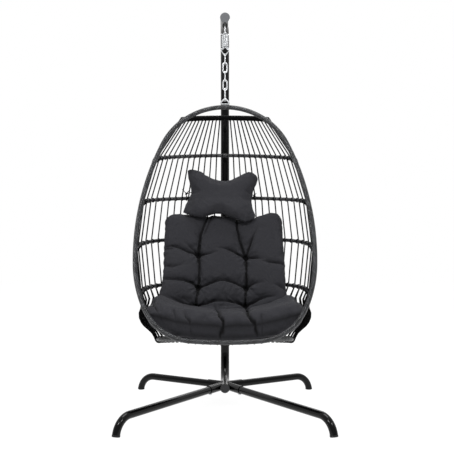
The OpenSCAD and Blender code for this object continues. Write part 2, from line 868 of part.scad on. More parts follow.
// Closed skin over a grid. Each place is [point on the middle surface, direction out of
// the face, filling on the face side, filling on the other side]; the grid's edge has none.
module pad(place) {
    nu = len(place) - 1;
    nv = len(place[0]) - 1;
    face = [for (row = place, q = row) q[0] + q[1] * q[2]];
    back = [for (i = [1 : nu - 1], j = [1 : nv - 1]) place[i][j][0] - place[i][j][1] * place[i][j][3]];
    f = function (i, j) i * (nv + 1) + j;
    b = function (i, j) i == 0 || i == nu || j == 0 || j == nv ? f(i, j) :
        (nu + 1) * (nv + 1) + (i - 1) * (nv - 1) + j - 1;
    cells = [for (i = [0 : nu - 1], j = [0 : nv - 1]) (i < nu / 2) == (j < nv / 2) ?
        [[[i, j], [i, j + 1], [i + 1, j + 1]], [[i, j], [i + 1, j + 1], [i + 1, j]]] :
        [[[i, j], [i, j + 1], [i + 1, j]], [[i, j + 1], [i + 1, j + 1], [i + 1, j]]]];
    polyhedron(concat(face, back),
        [for (c = cells, t = c) each [[for (q = t) f(q[0], q[1])],
            [for (k = [2 : -1 : 0]) b(t[k][0], t[k][1])]]]);
}

// The seat and back cushion runs back over the seat and up the back in one piece. Its
// middle surface starts at the front edge and follows this path in the YZ plane.
seat_front = rim_foot[1] + 17;
seat_mid = rim_foot[2] + 62.3;
seat_w = 2 * (rim_inside - seat_gap);
back_w = 2 * (rim_inside - back_gap);
fold_behind = 169;
seat_run = in_rim(0, SEAT[0])[1] + SEAT[2] * cos(SEAT[1]) - fold_behind - seat_front;
fold_r = 75;
fold_turn = 70.8;
back_run = rim_drop - HEAD[0] - 152.3;
cushion_path = [[seat_run], [fold_r, fold_turn], [back_run]];
cushion_run = run_of(cushion_path);
fold_mid = seat_run + step_len(cushion_path[1]) / 2;
fold_end = seat_run + step_len(cushion_path[1]);
column_x = 116;
tuft_low = 0.186;
tuft_high = 0.537;
tuft_rows = [fold_mid, fold_end + tuft_low * back_run, fold_end + tuft_high * back_run];
back_thin = 0.76;

// Half width of the cushion at a length along its path
function cushion_half(s) = let (seat = seat_w / 2, back = back_w / 2)
    lookup(s, [[0, seat - 14], [30, seat + 1], [70, seat + 13], [125, seat - 6], [seat_run, seat - 16],
        [fold_end, back + 8], [fold_end + 90, back + 4], [cushion_run, back]]);

// A place on the cushion: share u across its half, from -1 to 1, and length s along it
function cushion_place(x, s) =
    let (half = cushion_half(s), up = between(0, 1, (s - seat_run * 0.7) / (fold_end - seat_run * 0.7)))
    let (ahead = 24 * pow(between(0, 1, (abs(x) / half - 0.54) / 0.32), 2) * (1 - up))
    let (lobe = between(0, 1, (s - fold_mid) / (cushion_run - fold_mid)))
    let (grow = 26 * dent(abs(x) / half - 0.73, 0.24) - 14 * pow(abs(x) / half, 6))
    let (run = s + ahead * (1 - s / cushion_run) + pow(lobe, 3) * (grow - 18))
    let (e = along(cushion_path, run), h = e[2])
    let (out = [0, -sin(h), cos(h)], sag = x * x / 2 * between(1 / 1225, 1 / 600, up))
    let (full = cushion_t / 2 * between(1, back_thin, up))
    let (fill = full * crown(half - abs(x), 50) * crown(s, 58) * crown(cushion_run - s, 44))
    let (groove = 0.2 * dent(abs(x) - column_x, 15))
    let (tuft = max([for (r = tuft_rows)
        0.42 * dent(norm([abs(x) - column_x, s - r]), 24) + 0.12 * dent(s - r, 18)]))
    [[x, seat_front + e[0], seat_mid + e[1]] + out * sag, out,
        fill * (1 - groove - tuft), fill * (1 - 0.3 * groove)];

module cushion() {
    inner = [0, 45, 80, 102, column_x, 130];
    outer = [0.22, 0.46, 0.68, 0.84, 0.95, 1];
    rows = concat([for (d = [0, 0.026, 0.079, 0.158, 0.263, 0.44, 0.636, 0.833, 1]) d * seat_run],
        [fold_mid - 18, fold_mid, fold_mid + 18, fold_end + 6],
        [for (d = [0.062, 0.136, tuft_low, 0.236, 0.31, 0.403, 0.486, tuft_high, 0.589, 0.692,
            0.795, 0.878, 0.94, 0.981, 1]) fold_end + d * back_run]);
    places = function (side, k, s)
        let (x = k < len(inner) ? inner[k] : inner[5] + (cushion_half(s) - inner[5]) * outer[k - 6])
        cushion_place(side * x, s);
    color(CLOTH)
        pad([for (k = [-11 : 11]) [for (s = rows) places(sign(k), abs(k), s)]]);
}

// The head pillow leans on the cords under the head hoop. It is drawn in at its waist
// and along its middle, so that it has a lobe at each corner.
pillow_behind = 22.5;
pillow_mid = laced_at(LACED[2], 0.5)
    + [-12, -(hoop_d / 2 + cord_d + pillow_t / 2 + pillow_behind), 15];
pillow_tilt = 22;

function pillow_place(a, b) =
    let (w = pillow_w / 2 * (0.86 + 0.14 * b * b), h = pillow_h / 2 * (0.73 + 0.27 * a * a))
    let (cut = 1 - 0.05 * pow(a * b, 4), x = a * w * cut, z = b * h * cut)
    let (full = pillow_t / 2 * (0.86 + 0.14 * a * a))
    let (fill = full * crown((1 - abs(a)) * w, 60) * crown((1 - abs(b)) * h, 50))
    [pillow_mid + [x, z * sin(pillow_tilt), z * cos(pillow_tilt)],
        [0, -cos(pillow_tilt), sin(pillow_tilt)], fill, fill];

module head_pillow() {
    across = [0, 0.3, 0.55, 0.75, 0.89, 0.97, 1];
    up = [0, 0.35, 0.62, 0.82, 0.95, 1];
    color(CLOTH)
        pad([for (i = [-6 : 6]) [for (j = [-5 : 5])
            pillow_place(sign(i) * across[abs(i)], sign(j) * up[abs(j)])]]);
}

// A tie at each side of the pillow's waist, passed once round the head hoop between
// two cords
module pillow_ties() {
    tie_d = 4;
    tie_cord = 13;
    reach = hoop_d / 2 + tie_d / 2 + 0.6;
    color(CLOTH)
        for (side = [0, 1]) {
            t = (side == 0 ? tie_cord : cords - tie_cord) / cords;
            from = laced_at(LACED[2], t);
            behind = unit(cross([0, 0, -1], laced_at(LACED[2], t, 1) - from));
            x = pillow_mid[0] + (1 - 2 * side) * (pillow_w / 2 * 0.86 + tie_d / 2 + 1);
            knot = [x, pillow_mid[1], pillow_mid[2]];
            swept([knot + [0, 0, 3], from + [0, -6, 0] + [0, 0, reach + 2], from + [0, 0, reach],
                from + behind * reach * 0.8 + [0, 0, reach * 0.8], from + behind * reach * 1.1,
                from + behind * reach * 0.8 - [0, 0, reach * 0.8], from - [0, 0, reach],
                from + [0, -6, 0] - [0, 0, reach + 2], knot - [0, 0, 3]], tie_d, [1, 0, 0], 6);
        }
}

base_hub();
hub_cap();
post_collar();
upper_post();
arm_cap();
arm_eye();
leg_front_left();
leg_front_right();
leg_rear_left();
leg_rear_right();
foot_caps();
leg_bolts();
upper_hook();
upper_gate();
upper_drawbar();
spring_coil();
lower_drawbar();
link_a();
link_b();
link_c();
link_d();
lower_hook();
lower_gate();
hang_ring();
rim();
top_bar();
shoulder_hoop();
head_hoop();
waist_hoop();
seat_hoop();
bottom_bar();
side_cords();
floor_cords_set();
cushion();
head_pillow();
pillow_ties();
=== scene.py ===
import math
from collections import namedtuple

import bpy
import numpy as np
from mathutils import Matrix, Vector


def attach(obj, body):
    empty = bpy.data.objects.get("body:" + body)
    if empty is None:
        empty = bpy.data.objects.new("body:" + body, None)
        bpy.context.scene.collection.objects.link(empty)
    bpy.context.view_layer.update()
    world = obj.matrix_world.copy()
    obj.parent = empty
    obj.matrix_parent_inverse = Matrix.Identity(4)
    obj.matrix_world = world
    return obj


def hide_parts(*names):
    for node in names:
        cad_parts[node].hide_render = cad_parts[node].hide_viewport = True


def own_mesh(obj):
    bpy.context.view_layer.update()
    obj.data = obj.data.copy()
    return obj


bl_info = {
    "name": "Hanging Egg Chair",
    "version": (1, 0, 0),
    "blender": (4, 5, 0),
    "location": "3D View > Sidebar > Egg Chair",
    "description": "Wicker, lacing, cushions and finishes for a hanging egg chair",
    "category": "Object",
}

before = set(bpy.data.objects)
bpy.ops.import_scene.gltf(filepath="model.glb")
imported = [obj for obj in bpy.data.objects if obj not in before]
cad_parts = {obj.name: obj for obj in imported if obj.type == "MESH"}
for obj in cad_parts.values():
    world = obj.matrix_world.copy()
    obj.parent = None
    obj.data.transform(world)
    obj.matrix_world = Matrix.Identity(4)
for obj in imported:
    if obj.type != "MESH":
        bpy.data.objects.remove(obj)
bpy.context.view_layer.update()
MM = 0.001

# ---- the basket's lines, in millimetres, as the construction has them ----

LEAN = math.radians(15)
HANG_BACK = 20.0
RIM_TOP_Z = 1455.55
RIM_D = 22.0
# Radius and turn of each bend of the rim's half, from its top
RIM_STEPS = [(325.0, 65.5), (1275.0, 27.0), (550.0, 22.5), (242.0, 60.4)]
CORDS = 36
CORD_D = 5.0
FLOOR_CORDS = 11
# Gaps that the construction leaves between a cord and its bar, and under the rim
CORD_GAP, RIM_CORD_GAP = 0.15, 0.45
COIL = {"r": 14.0, "wire": 5.0, "turns": 7, "low": 1742.6, "high": 1802.6, "stroke": 16.0}
# A turn of cord sinks this far into its bar, so that no light shows between them
BITE = 0.8
ACROSS, UP = Vector((1, 0, 0)), Vector((0, 0, 1))


def step_length(step):
    return step[0] if len(step) == 1 else step[0] * math.radians(abs(step[1]))


def path_length(path):
    return sum(step_length(step) for step in path)


def along(path, s):
    """Point and heading at length s along a path of straight and bent steps."""
    x = y = heading = 0.0
    for i, step in enumerate(path):
        length = step_length(step)
        last = i == len(path) - 1 or s <= length
        run = s if last else length
        if len(step) == 1:
            dx, dy, turn = run, 0.0, 0.0
        else:
            turn = math.copysign(run / step[0], step[1])
            dx = step[0] * math.sin(abs(turn))
            dy = math.copysign(step[0] * (1 - math.cos(turn)), step[1])
        x, y = (x + dx * math.cos(heading) - dy * math.sin(heading),
                y + dx * math.sin(heading) + dy * math.cos(heading))
        heading += turn
        if last:
            return x, y, heading
        s -= length


def rim_half():
    left = 180 - sum(turn for _, turn in RIM_STEPS)
    end = along(RIM_STEPS, path_length(RIM_STEPS))
    return RIM_STEPS + [(end[0] / math.sin(math.radians(left)), left)]


RIM_HALF = rim_half()
RIM_RUN = path_length(RIM_HALF)
RIM_DROP = along(RIM_HALF, RIM_RUN)[1]
# Each hoop: distance down the rim, rise, depth, corner radius, back radius, diameter
HOOPS = {
    "top_bar": (72, 13.5, 175, 95, 380, 20),
    "shoulder_hoop": (280, 11.5, 300, 140, 520, 18),
    "head_hoop": (492, 7.5, 370, 165, 620, 18),
    "waist_hoop": (RIM_DROP - 416, 8.0, 400, 175, 640, 18),
    "seat_hoop": (RIM_DROP - 209, 5.5, 365, 170, 620, 18),
}
BOTTOM = {"drop": RIM_DROP - 13.3, "rise": -8.0, "flare": 40, "arm": 128, "r": 130, "d": 20}
# Length of a hoop's end, and of the bottom bar's bend in degrees, that carries no cord
BARE_END, BARE_BEND = 26.0, 8

# A bar's drop, rise, path, first heading, diameter and bare length at each end
Bar = namedtuple("Bar", "drop rise path first d bare")
# A cord's crossing: its point, the bar's middle, the bar's and cord's runs, the way out
Crossing = namedtuple("Crossing", "point mid run cord out")


def in_rim(u, v, w=0.0):
    """A place in the rim's leaning plane: across, down and behind it."""
    return Vector((u, HANG_BACK - v * math.sin(LEAN) + w * math.cos(LEAN),
                   RIM_TOP_Z - v * math.cos(LEAN) - w * math.sin(LEAN)))


def rim_width(v):
    """Half width of the rim at a distance down it, found by halving."""
    low, high = 0.0, RIM_RUN
    for _ in range(40):
        mid = (low + high) / 2
        if along(RIM_HALF, mid)[1] < v:
            low = mid
        else:
            high = mid
    return along(RIM_HALF, low)[0]


def bar_of(name):
    if name == "bottom_bar":
        b = BOTTOM
        flare = math.radians(b["flare"])
        half = rim_width(b["drop"]) + b["arm"] * math.sin(flare) - b["r"] * math.cos(flare)
        bend = (b["r"], 90 + b["flare"])
        path = [(b["arm"],), bend, (2 * half,), bend, (b["arm"],)]
        bare = b["arm"] + b["r"] * math.radians(b["flare"] - BARE_BEND)
        return Bar(b["drop"], b["rise"], path, 90 - b["flare"], b["d"], bare)
    drop, rise, depth, corner, back, d = HOOPS[name]
    turn = math.asin((rim_width(drop) - corner) / (back - corner))
    side = depth - back + (back - corner) * math.cos(turn)
    turn = math.degrees(turn)
    bend = (corner, 90 - turn)
    path = [(side,), bend, (back, 2 * turn), bend, (side,)]
    return Bar(drop, rise, path, 90, d, BARE_END)


BARS = {name: bar_of(name) for name in list(HOOPS) + ["bottom_bar"]}
LAST = len(BARS) - 1


def on_bar(bar, s):
    start = in_rim(0, bar.drop)
    x, y, _ = along(bar.path, s)
    first, rise = math.radians(bar.first), math.radians(bar.rise)
    qx = rim_width(bar.drop) + x * math.cos(first) - y * math.sin(first)
    depth = x * math.sin(first) + y * math.cos(first)
    return Vector((qx, start.y + depth * math.cos(rise), start.z + depth * math.sin(rise)))


def laced_at(bar, share, step=0.0):
    """A place at a share of the laced length of a bar; shares under a half lie at x > 0."""
    return on_bar(bar, bar.bare + share * (path_length(bar.path) - 2 * bar.bare) + step)


def bar_run(bar, share):
    return (laced_at(bar, share, 1) - laced_at(bar, share, -1)).normalized()


def lacing(share):
    """The crossings of one cord with each bar, from the top bar down."""
    mids = [laced_at(bar, share) for bar in BARS.values()]
    found = []
    for k, bar in enumerate(BARS.values()):
        run = bar_run(bar, share)
        into = (mids[max(k, 1)] - mids[max(k, 1) - 1]).normalized()
        off = (mids[min(k, LAST - 1) + 1] - mids[min(k, LAST - 1)]).normalized()
        cord = (into + off).normalized()
        out = cord.cross(run).normalized()
        reach = ((bar.d + CORD_D) / 2 + CORD_GAP) / into.dot(cord)
        found.append(Crossing(mids[k] + out * reach, mids[k], run, cord, out))
    return found


# ---- sizes and colours that can be changed ----


def linear(hex_colour):
    """sRGB hex to linear red, green and blue."""
    parts = [int(hex_colour[i:i + 2], 16) / 255 for i in (1, 3, 5)]
    return tuple(p / 12.92 if p <= 0.04045 else ((p + 0.055) / 1.055) ** 2.4 for p in parts)


def colour(name, description, hex_colour):
    return bpy.props.FloatVectorProperty(name=name, description=description, subtype="COLOR",
                                         size=3, min=0, max=1, default=linear(hex_colour))


def length(name, description, mm):
    return bpy.props.FloatProperty(name=name, description=description, subtype="DISTANCE",
                                   unit="LENGTH", default=mm * MM, min=0.0, max=1.0)


class EggChairSizes(bpy.types.PropertyGroup):
    strip_width: length("Strip pitch", "Pitch of the wicker strips along the rim", 11.5)
    strip_grain: length("Rib pitch", "Pitch of the fine ribs along a wicker strip", 1.6)
    wrap_thick: length("Wrap thickness", "Thickness of a cord's turn round a hoop", 4.2)
    lace_thick: length("Cord thickness", "Diameter of the lacing cord", 6.6)
    cloth_thread: length("Thread pitch", "Pitch of the cushion cloth's threads", 1.8)
    cushion_cell: length("Cushion cell", "Cell size of the cushion's cloth", 8.0)
    pillow_cell: length("Pillow cell", "Cell size of the pillow's cloth", 6.0)
    swell: bpy.props.FloatProperty(name="Filling", description="Pressure of the filling",
                                   default=4.0, min=0, max=20)


class EggChairColours(bpy.types.PropertyGroup):
    paint: colour("Paint", "Stoved paint on the stand", "#09090a")
    plug: colour("Plugs", "Moulded end plugs", "#67696c")
    rubber: colour("Feet", "Foot plugs", "#161617")
    zinc: colour("Zinc", "Chain, spring and hooks", "#eceef0")
    strip: colour("Wicker", "Flat wicker strip", "#303134")
    # Painted shade in the grooves between wicker strips
    strip_gap_shade: colour("Wicker gap", "Gap between wicker strips", "#0b0b0c")
    cord: colour("Cord", "Lacing cord", "#09090a")
    cloth: colour("Cloth", "Cushion cloth", "#343438")
    floor: colour("Floor", "Studio floor", "#f4f4f4")


def sizes():
    return bpy.context.scene.egg_chair_sizes


def colours():
    return bpy.context.scene.egg_chair_colours


# ---- materials ----


def fill(tree, made, ins):
    """Links or sets a node's inputs; a node stands for its first output."""
    for key, value in ins.items():
        if isinstance(value, bpy.types.Node):
            value = value.outputs[0]
        if isinstance(value, bpy.types.NodeSocket):
            tree.links.new(value, made.inputs[key])
        else:
            made.inputs[key].default_value = value
    return made


def node(tree, kind, ins=(), **settings):
    """Adds a node, sets it, and links or fills its inputs."""
    made = tree.nodes.new(kind)
    for key, value in settings.items():
        setattr(made, key, value)
    return fill(tree, made, dict(ins))


def start_material(name):
    """A new material, its nodes and its shader, or the material alone if it is there."""
    if name in bpy.data.materials:
        return bpy.data.materials[name], None, None
    material = bpy.data.materials.new(name)
    material.use_nodes = True
    tree = material.node_tree
    return material, tree, tree.nodes["Principled BSDF"]


def rgba(rgb, level=1.0):
    return (rgb[0] * level, rgb[1] * level, rgb[2] * level, 1.0)


def stoved_black_paint():
    """Gloss polyester powder coat on steel tube: deep black, a faint orange peel."""
    material, tree, bsdf = start_material("stoved_black_paint")
    if tree:
        place = node(tree, "ShaderNodeTexCoord").outputs["Object"]
        # Orange peel is about 2 mm from crest to crest, and dust lies in patches of 70 mm
        peel = node(tree, "ShaderNodeTexNoise", {"Vector": place, "Scale": 420.0, "Detail": 2.0})
        dust = node(tree, "ShaderNodeTexNoise", {"Vector": place, "Scale": 14.0, "Detail": 4.0})
        gloss = node(tree, "ShaderNodeMapRange", {"Value": dust, "From Min": 0.35,
                                                  "From Max": 0.7, "To Min": 0.1, "To Max": 0.2})
        bump = node(tree, "ShaderNodeBump", {"Height": peel, "Strength": 0.05,
                                             "Distance": 0.0004})
        fill(tree, bsdf, {"Base Color": rgba(colours().paint), "Roughness": gloss,
                          "Specular IOR Level": 0.2, "Normal": bump})
    return material


def moulded_plug(name="moulded_polypropylene", level=1.0):
    """Injection-moulded polypropylene with a fine spark-eroded grain."""
    material, tree, bsdf = start_material(name)
    if tree:
        place = node(tree, "ShaderNodeTexCoord").outputs["Object"]
        # The grain is about 1 mm, drawn coarser than it is so that it shows
        grain = node(tree, "ShaderNodeTexNoise", {"Vector": place, "Scale": 900.0, "Detail": 3.0})
        wide = node(tree, "ShaderNodeTexNoise", {"Vector": place, "Scale": 40.0})
        tint = node(tree, "ShaderNodeMix", {0: wide, 6: rgba(colours().plug, 0.88 * level),
                                            7: rgba(colours().plug, 1.12 * level)},
                    data_type="RGBA")
        bump = node(tree, "ShaderNodeBump", {"Height": grain, "Strength": 0.15,
                                             "Distance": 0.0002})
        fill(tree, bsdf, {"Base Color": tint.outputs[2], "Roughness": 0.45, "Normal": bump})
    return material


def foot_rubber():
    """Moulded rubber: matt, with dust in its pores."""
    material, tree, bsdf = start_material("moulded_rubber")
    if tree:
        place = node(tree, "ShaderNodeTexCoord").outputs["Object"]
        # Pores of about 1.5 mm
        pores = node(tree, "ShaderNodeTexNoise", {"Vector": place, "Scale": 700.0, "Detail": 4.0})
        tint = node(tree, "ShaderNodeMix", {0: pores, 6: rgba(colours().rubber, 0.8),
                                            7: rgba(colours().rubber, 1.5)}, data_type="RGBA")
        bump = node(tree, "ShaderNodeBump", {"Height": pores, "Strength": 0.25,
                                             "Distance": 0.0003})
        fill(tree, bsdf, {"Base Color": tint.outputs[2], "Roughness": 0.75, "Normal": bump})
    return material


def bright_zinc():
    """Zinc plate on drawn wire: bright, with a cloudy bloom in its gloss."""
    material, tree, bsdf = start_material("bright_zinc_plate")
    if tree:
        place = node(tree, "ShaderNodeTexCoord").outputs["Object"]
        # The bloom is about 4 mm across
        cloud = node(tree, "ShaderNodeTexNoise", {"Vector": place, "Scale": 260.0, "Detail": 4.0})
        tint = node(tree, "ShaderNodeMix", {0: cloud, 6: rgba(colours().zinc, 0.85),
                                            7: rgba(colours().zinc)}, data_type="RGBA")
        rough = node(tree, "ShaderNodeMapRange", {"Value": cloud, "To Min": 0.3, "To Max": 0.5})
        fill(tree, bsdf, {"Base Color": tint.outputs[2], "Metallic": 1.0, "Roughness": rough})
    return material


def wicker_strip():
    """Flat extruded polyethylene strip wound round a tube: satin, ribbed along the strip.

    The first UV runs along the tube in metres and the second once round it.
    """
    material, tree, bsdf = start_material("wound_polyethylene_strip")
    if tree:
        pitch = sizes().strip_width
        place = node(tree, "ShaderNodeSeparateXYZ",
                     {0: node(tree, "ShaderNodeUVMap", uv_map="wound")}).outputs
        # Six strips side by side wind round at about 45 degrees
        turns = node(tree, "ShaderNodeMath", {0: place["X"], 1: pitch}, operation="DIVIDE")
        phase = node(tree, "ShaderNodeMath", {0: place["Y"], 1: 6.0, 2: turns},
                     operation="MULTIPLY_ADD")
        part = node(tree, "ShaderNodeMath", {0: phase}, operation="FRACT")
        # Distance from the strip's middle line, 0 at the middle and 1 at its edges
        edge = node(tree, "ShaderNodeMath", {0: part, 1: 2.0, 2: -1.0}, operation="MULTIPLY_ADD")
        edge = node(tree, "ShaderNodeMath", {0: edge}, operation="ABSOLUTE")
        steep = node(tree, "ShaderNodeMath", {0: edge, 1: 5.0}, operation="POWER")
        crown_up = node(tree, "ShaderNodeMath", {0: 1.0, 1: steep}, operation="SUBTRACT")
        ribs = node(tree, "ShaderNodeMath", {0: part, 1: math.tau * pitch / sizes().strip_grain},
                    operation="MULTIPLY")
        ribs = node(tree, "ShaderNodeMath", {0: ribs}, operation="SINE")
        height = node(tree, "ShaderNodeMath", {0: ribs, 1: 0.05, 2: crown_up},
                      operation="MULTIPLY_ADD")
        # Each strip has its own level of colour
        number = node(tree, "ShaderNodeMath", {0: phase}, operation="FLOOR")
        own = node(tree, "ShaderNodeTexWhiteNoise", {"W": number}, noise_dimensions="1D")
        # Painted shade: each strip darkens towards its edges into the gap colour, for the shade
        # in the grooves between strips
        gap = node(tree, "ShaderNodeMapRange", {"Value": edge, "From Min": 0.6, "From Max": 0.95})
        level = node(tree, "ShaderNodeMix", {0: own, 6: rgba(colours().strip, 0.5),
                                             7: rgba(colours().strip, 1.7)}, data_type="RGBA")
        tint = node(tree, "ShaderNodeMix", {0: gap, 6: level.outputs[2],
                                            7: rgba(colours().strip_gap_shade)}, data_type="RGBA")
        bump = node(tree, "ShaderNodeBump", {"Height": height, "Strength": 0.9,
                                             "Distance": 0.0016})
        fill(tree, bsdf, {"Base Color": tint.outputs[2], "Roughness": 0.24,
                          "Specular IOR Level": 0.5, "Normal": bump})
    return material


def lacing_cord():
    """Round extruded polyethylene cord: satin black with faint draw lines."""
    material, tree, bsdf = start_material("extruded_polyethylene_cord")
    if tree:
        place = node(tree, "ShaderNodeTexCoord").outputs["Object"]
        # The draw lines are 1 mm apart and some 25 mm long
        long = node(tree, "ShaderNodeMapping", {"Vector": place, "Scale": (900.0, 900.0, 40.0)})
        draw = node(tree, "ShaderNodeTexNoise", {"Vector": long, "Scale": 1.0})
        tint = node(tree, "ShaderNodeMix", {0: draw, 6: rgba(colours().cord, 0.7),
                                            7: rgba(colours().cord, 1.5)}, data_type="RGBA")
        bump = node(tree, "ShaderNodeBump", {"Height": draw, "Strength": 0.2,
                                             "Distance": 0.0002})
        fill(tree, bsdf, {"Base Color": tint.outputs[2], "Roughness": 0.55,
                          "Specular IOR Level": 0.06, "Normal": bump})
    return material


def charcoal_polyester():
    """Plain-woven spun polyester, charcoal: matt with a soft sheen and a faint melange.

    The thread pitch is drawn at 1.8 mm, about twice the real one, so that it shows.
    """
    material, tree, bsdf = start_material("charcoal_woven_polyester")
    if tree:
        cloth = colours().cloth
        solid = node(tree, "ShaderNodeTexCoord").outputs["Object"]
        flat = node(tree, "ShaderNodeAttribute", attribute_name="cloth_place").outputs["Vector"]
        flat = node(tree, "ShaderNodeSeparateXYZ", {0: flat}).outputs
        threads = []
        for way in ("X", "Y"):
            phase = node(tree, "ShaderNodeMath",
                         {0: flat[way], 1: math.tau / sizes().cloth_thread}, operation="MULTIPLY")
            threads.append(node(tree, "ShaderNodeMath", {0: phase}, operation="SINE"))
        weave = node(tree, "ShaderNodeMath", {0: threads[0], 1: threads[1]},
                     operation="MULTIPLY")
        # The melange is of 4 mm flecks, and the colour drifts over some 170 mm
        melange = node(tree, "ShaderNodeTexNoise", {"Vector": solid, "Scale": 240.0,
                                                    "Detail": 5.0, "Roughness": 0.7})
        fade = node(tree, "ShaderNodeTexNoise", {"Vector": solid, "Scale": 6.0, "Detail": 3.0})
        tint = node(tree, "ShaderNodeMix", {0: melange, 6: rgba(cloth, 0.78),
                                            7: rgba(cloth, 1.22)}, data_type="RGBA")
        shade = node(tree, "ShaderNodeMix", {0: fade, 6: rgba((0.9, 0.9, 0.93)),
                                             7: rgba((1.1, 1.1, 1.08))}, data_type="RGBA")
        both = node(tree, "ShaderNodeMix", {0: 1.0, 6: tint.outputs[2], 7: shade.outputs[2]},
                    data_type="RGBA", blend_type="MULTIPLY")
        # Painted shade: the cloth deep in a fold, and along the seam, is darkened towards 12% of
        # its colour
        painted_fold_shade = node(tree, "ShaderNodeAttribute", attribute_name="painted_fold_shade").outputs["Fac"]
        fold_shaded_colour = node(tree, "ShaderNodeMix", {0: painted_fold_shade, 6: both.outputs[2], 7: rgba(cloth, 0.12)},
                    data_type="RGBA")
        height = node(tree, "ShaderNodeMath", {0: weave, 1: 0.5, 2: melange},
                      operation="MULTIPLY_ADD")
        # Soft creases some 40 mm apart, left from packing
        crease = node(tree, "ShaderNodeTexNoise", {"Vector": solid, "Scale": 26.0, "Detail": 3.0,
                                                   "Roughness": 0.6, "Distortion": 1.2})
        broad = node(tree, "ShaderNodeBump", {"Height": crease, "Strength": 0.8,
                                              "Distance": 0.006})
        bump = node(tree, "ShaderNodeBump", {"Height": height, "Strength": 0.35,
                                             "Distance": 0.0006, "Normal": broad})
        fill(tree, bsdf, {"Base Color": fold_shaded_colour.outputs[2], "Roughness": 0.88,
                          "Specular IOR Level": 0.2, "Sheen Weight": 0.05,
                          "Sheen Roughness": 0.45, "Normal": bump})
    return material


# ---- making and finishing pieces ----


def deselect():
    if bpy.context.mode != "OBJECT":
        bpy.ops.object.mode_set(mode="OBJECT")
    bpy.ops.object.select_all(action="DESELECT")


def choose(piece):
    deselect()
    piece.select_set(True)
    bpy.context.view_layer.objects.active = piece


def finish_piece(piece, body, material, replaced=()):
    """Gives a finished piece its material, its place in the table and what it replaces."""
    piece.data.materials.clear()
    piece.data.materials.append(material)
    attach(piece, body)
    if replaced:
        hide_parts(*replaced)
    return piece


def tube(name, lines, diameter, sides=12, closed=False):
    """A mesh of tubes through lists of points in millimetres, one tube for each list.

    Its map "wound" runs along each tube in metres and once round it.
    """
    curve = bpy.data.curves.new(name, "CURVE")
    curve.dimensions = "3D"
    curve.bevel_depth = diameter / 2 * MM
    curve.bevel_resolution = (sides - 4) // 2
    curve.use_fill_caps = not closed
    curve.twist_mode = "MINIMUM"
    # The tubes' rings follow each other, so a point's number gives its ring and side
    starts, runs, total = [], [], 0
    for points in lines:
        spline = curve.splines.new("POLY")
        spline.points.add(len(points) - 1)
        for place, p in zip(spline.points, points):
            place.co = (p[0] * MM, p[1] * MM, p[2] * MM, 1.0)
        spline.use_cyclic_u = closed
        starts.append(total)
        total += len(points) * sides
        run = [0.0]
        for a, b in zip(points, points[1:] + points[:1]):
            run.append(run[-1] + (Vector(b) - Vector(a)).length * MM)
        runs.append(run)
    piece = bpy.data.objects.new(name, curve)
    bpy.context.scene.collection.objects.link(piece)
    choose(piece)
    bpy.ops.object.convert(target="MESH")
    piece = bpy.context.object
    piece.name = piece.data.name = name
    for old in list(piece.data.uv_layers):
        piece.data.uv_layers.remove(old)
    layer = piece.data.uv_layers.new(name="wound")
    line = 0
    for face in piece.data.polygons:
        first = min(face.vertices)
        while line + 1 < len(starts) and first >= starts[line + 1]:
            line += 1
        while first < starts[line]:
            line -= 1
        n = len(lines[line])
        rings = [(v - starts[line]) // sides for v in face.vertices]
        cols = [(v - starts[line]) % sides for v in face.vertices]
        end_cap = len(face.vertices) > 4
        # The last face round, or along a closed tube, goes on and not back to the map's start
        for loop, ring, col in zip(face.loop_indices, rings, cols):
            if max(cols) == sides - 1 and min(cols) == 0 and col == 0 and not end_cap:
                col = sides
            if closed and max(rings) == n - 1 and min(rings) == 0 and ring == 0:
                ring = n
            layer.data[loop].uv = (runs[line][min(ring, n)], col / sides)
    choose(piece)
    bpy.ops.object.shade_smooth_by_angle(angle=math.radians(50))
    return piece


def arc(middle, a, b, radius, start, end, count):
    """Points of an arc about middle, from side a towards side b, in degrees."""
    found = []
    for i in range(count + 1):
        t = math.radians(start + (end - start) * i / count)
        found.append(middle + a * radius * math.cos(t) + b * radius * math.sin(t))
    return found


def bar_points(bar, step, keep):
    """Points along a bar, a step apart, from keep inside one end to keep inside the other."""
    total = path_length(bar.path)
    count = max(2, int((total - 2 * keep) / step))
    return [on_bar(bar, keep + (total - 2 * keep) * i / count) for i in range(count + 1)]


# ---- operators: one for each piece or group of like pieces ----

# The camera's focal length and shift, in pixels of its frame
FRAME, FOCAL, SHIFT = 454, 723.5, (2.0, 2.6)
CAMERA_BACK, CAMERA_UP = 3.471, 0.865
# Name, place, size and power of each lamp, all aimed at the basket's middle
LAMPS = (("lamp_left", (-1.3, -2.6, 3.2), 0.5, 44.0),
         ("lamp_right", (1.7, -2.3, 2.9), 0.5, 32.0),
         ("lamp_top", (0.1, 0.1, 3.8), 1.7, 56.0),
         ("lamp_back", (0.8, 3.2, 2.6), 1.6, 18.0))
LAMPS_AIM = Vector((0, 0, 0.9))
WHITE = (1, 1, 1, 1)


def seen(tree):
    """1 for a ray that shows the surround, straight or in a gloss, and 0 for its light."""
    path = node(tree, "ShaderNodeLightPath").outputs
    mirrored = node(tree, "ShaderNodeMath", {0: path["Is Glossy Ray"],
                                             1: path["Is Transmission Ray"]},
                    operation="MAXIMUM")
    return node(tree, "ShaderNodeMath", {0: path["Is Camera Ray"], 1: mirrored},
                operation="MAXIMUM")


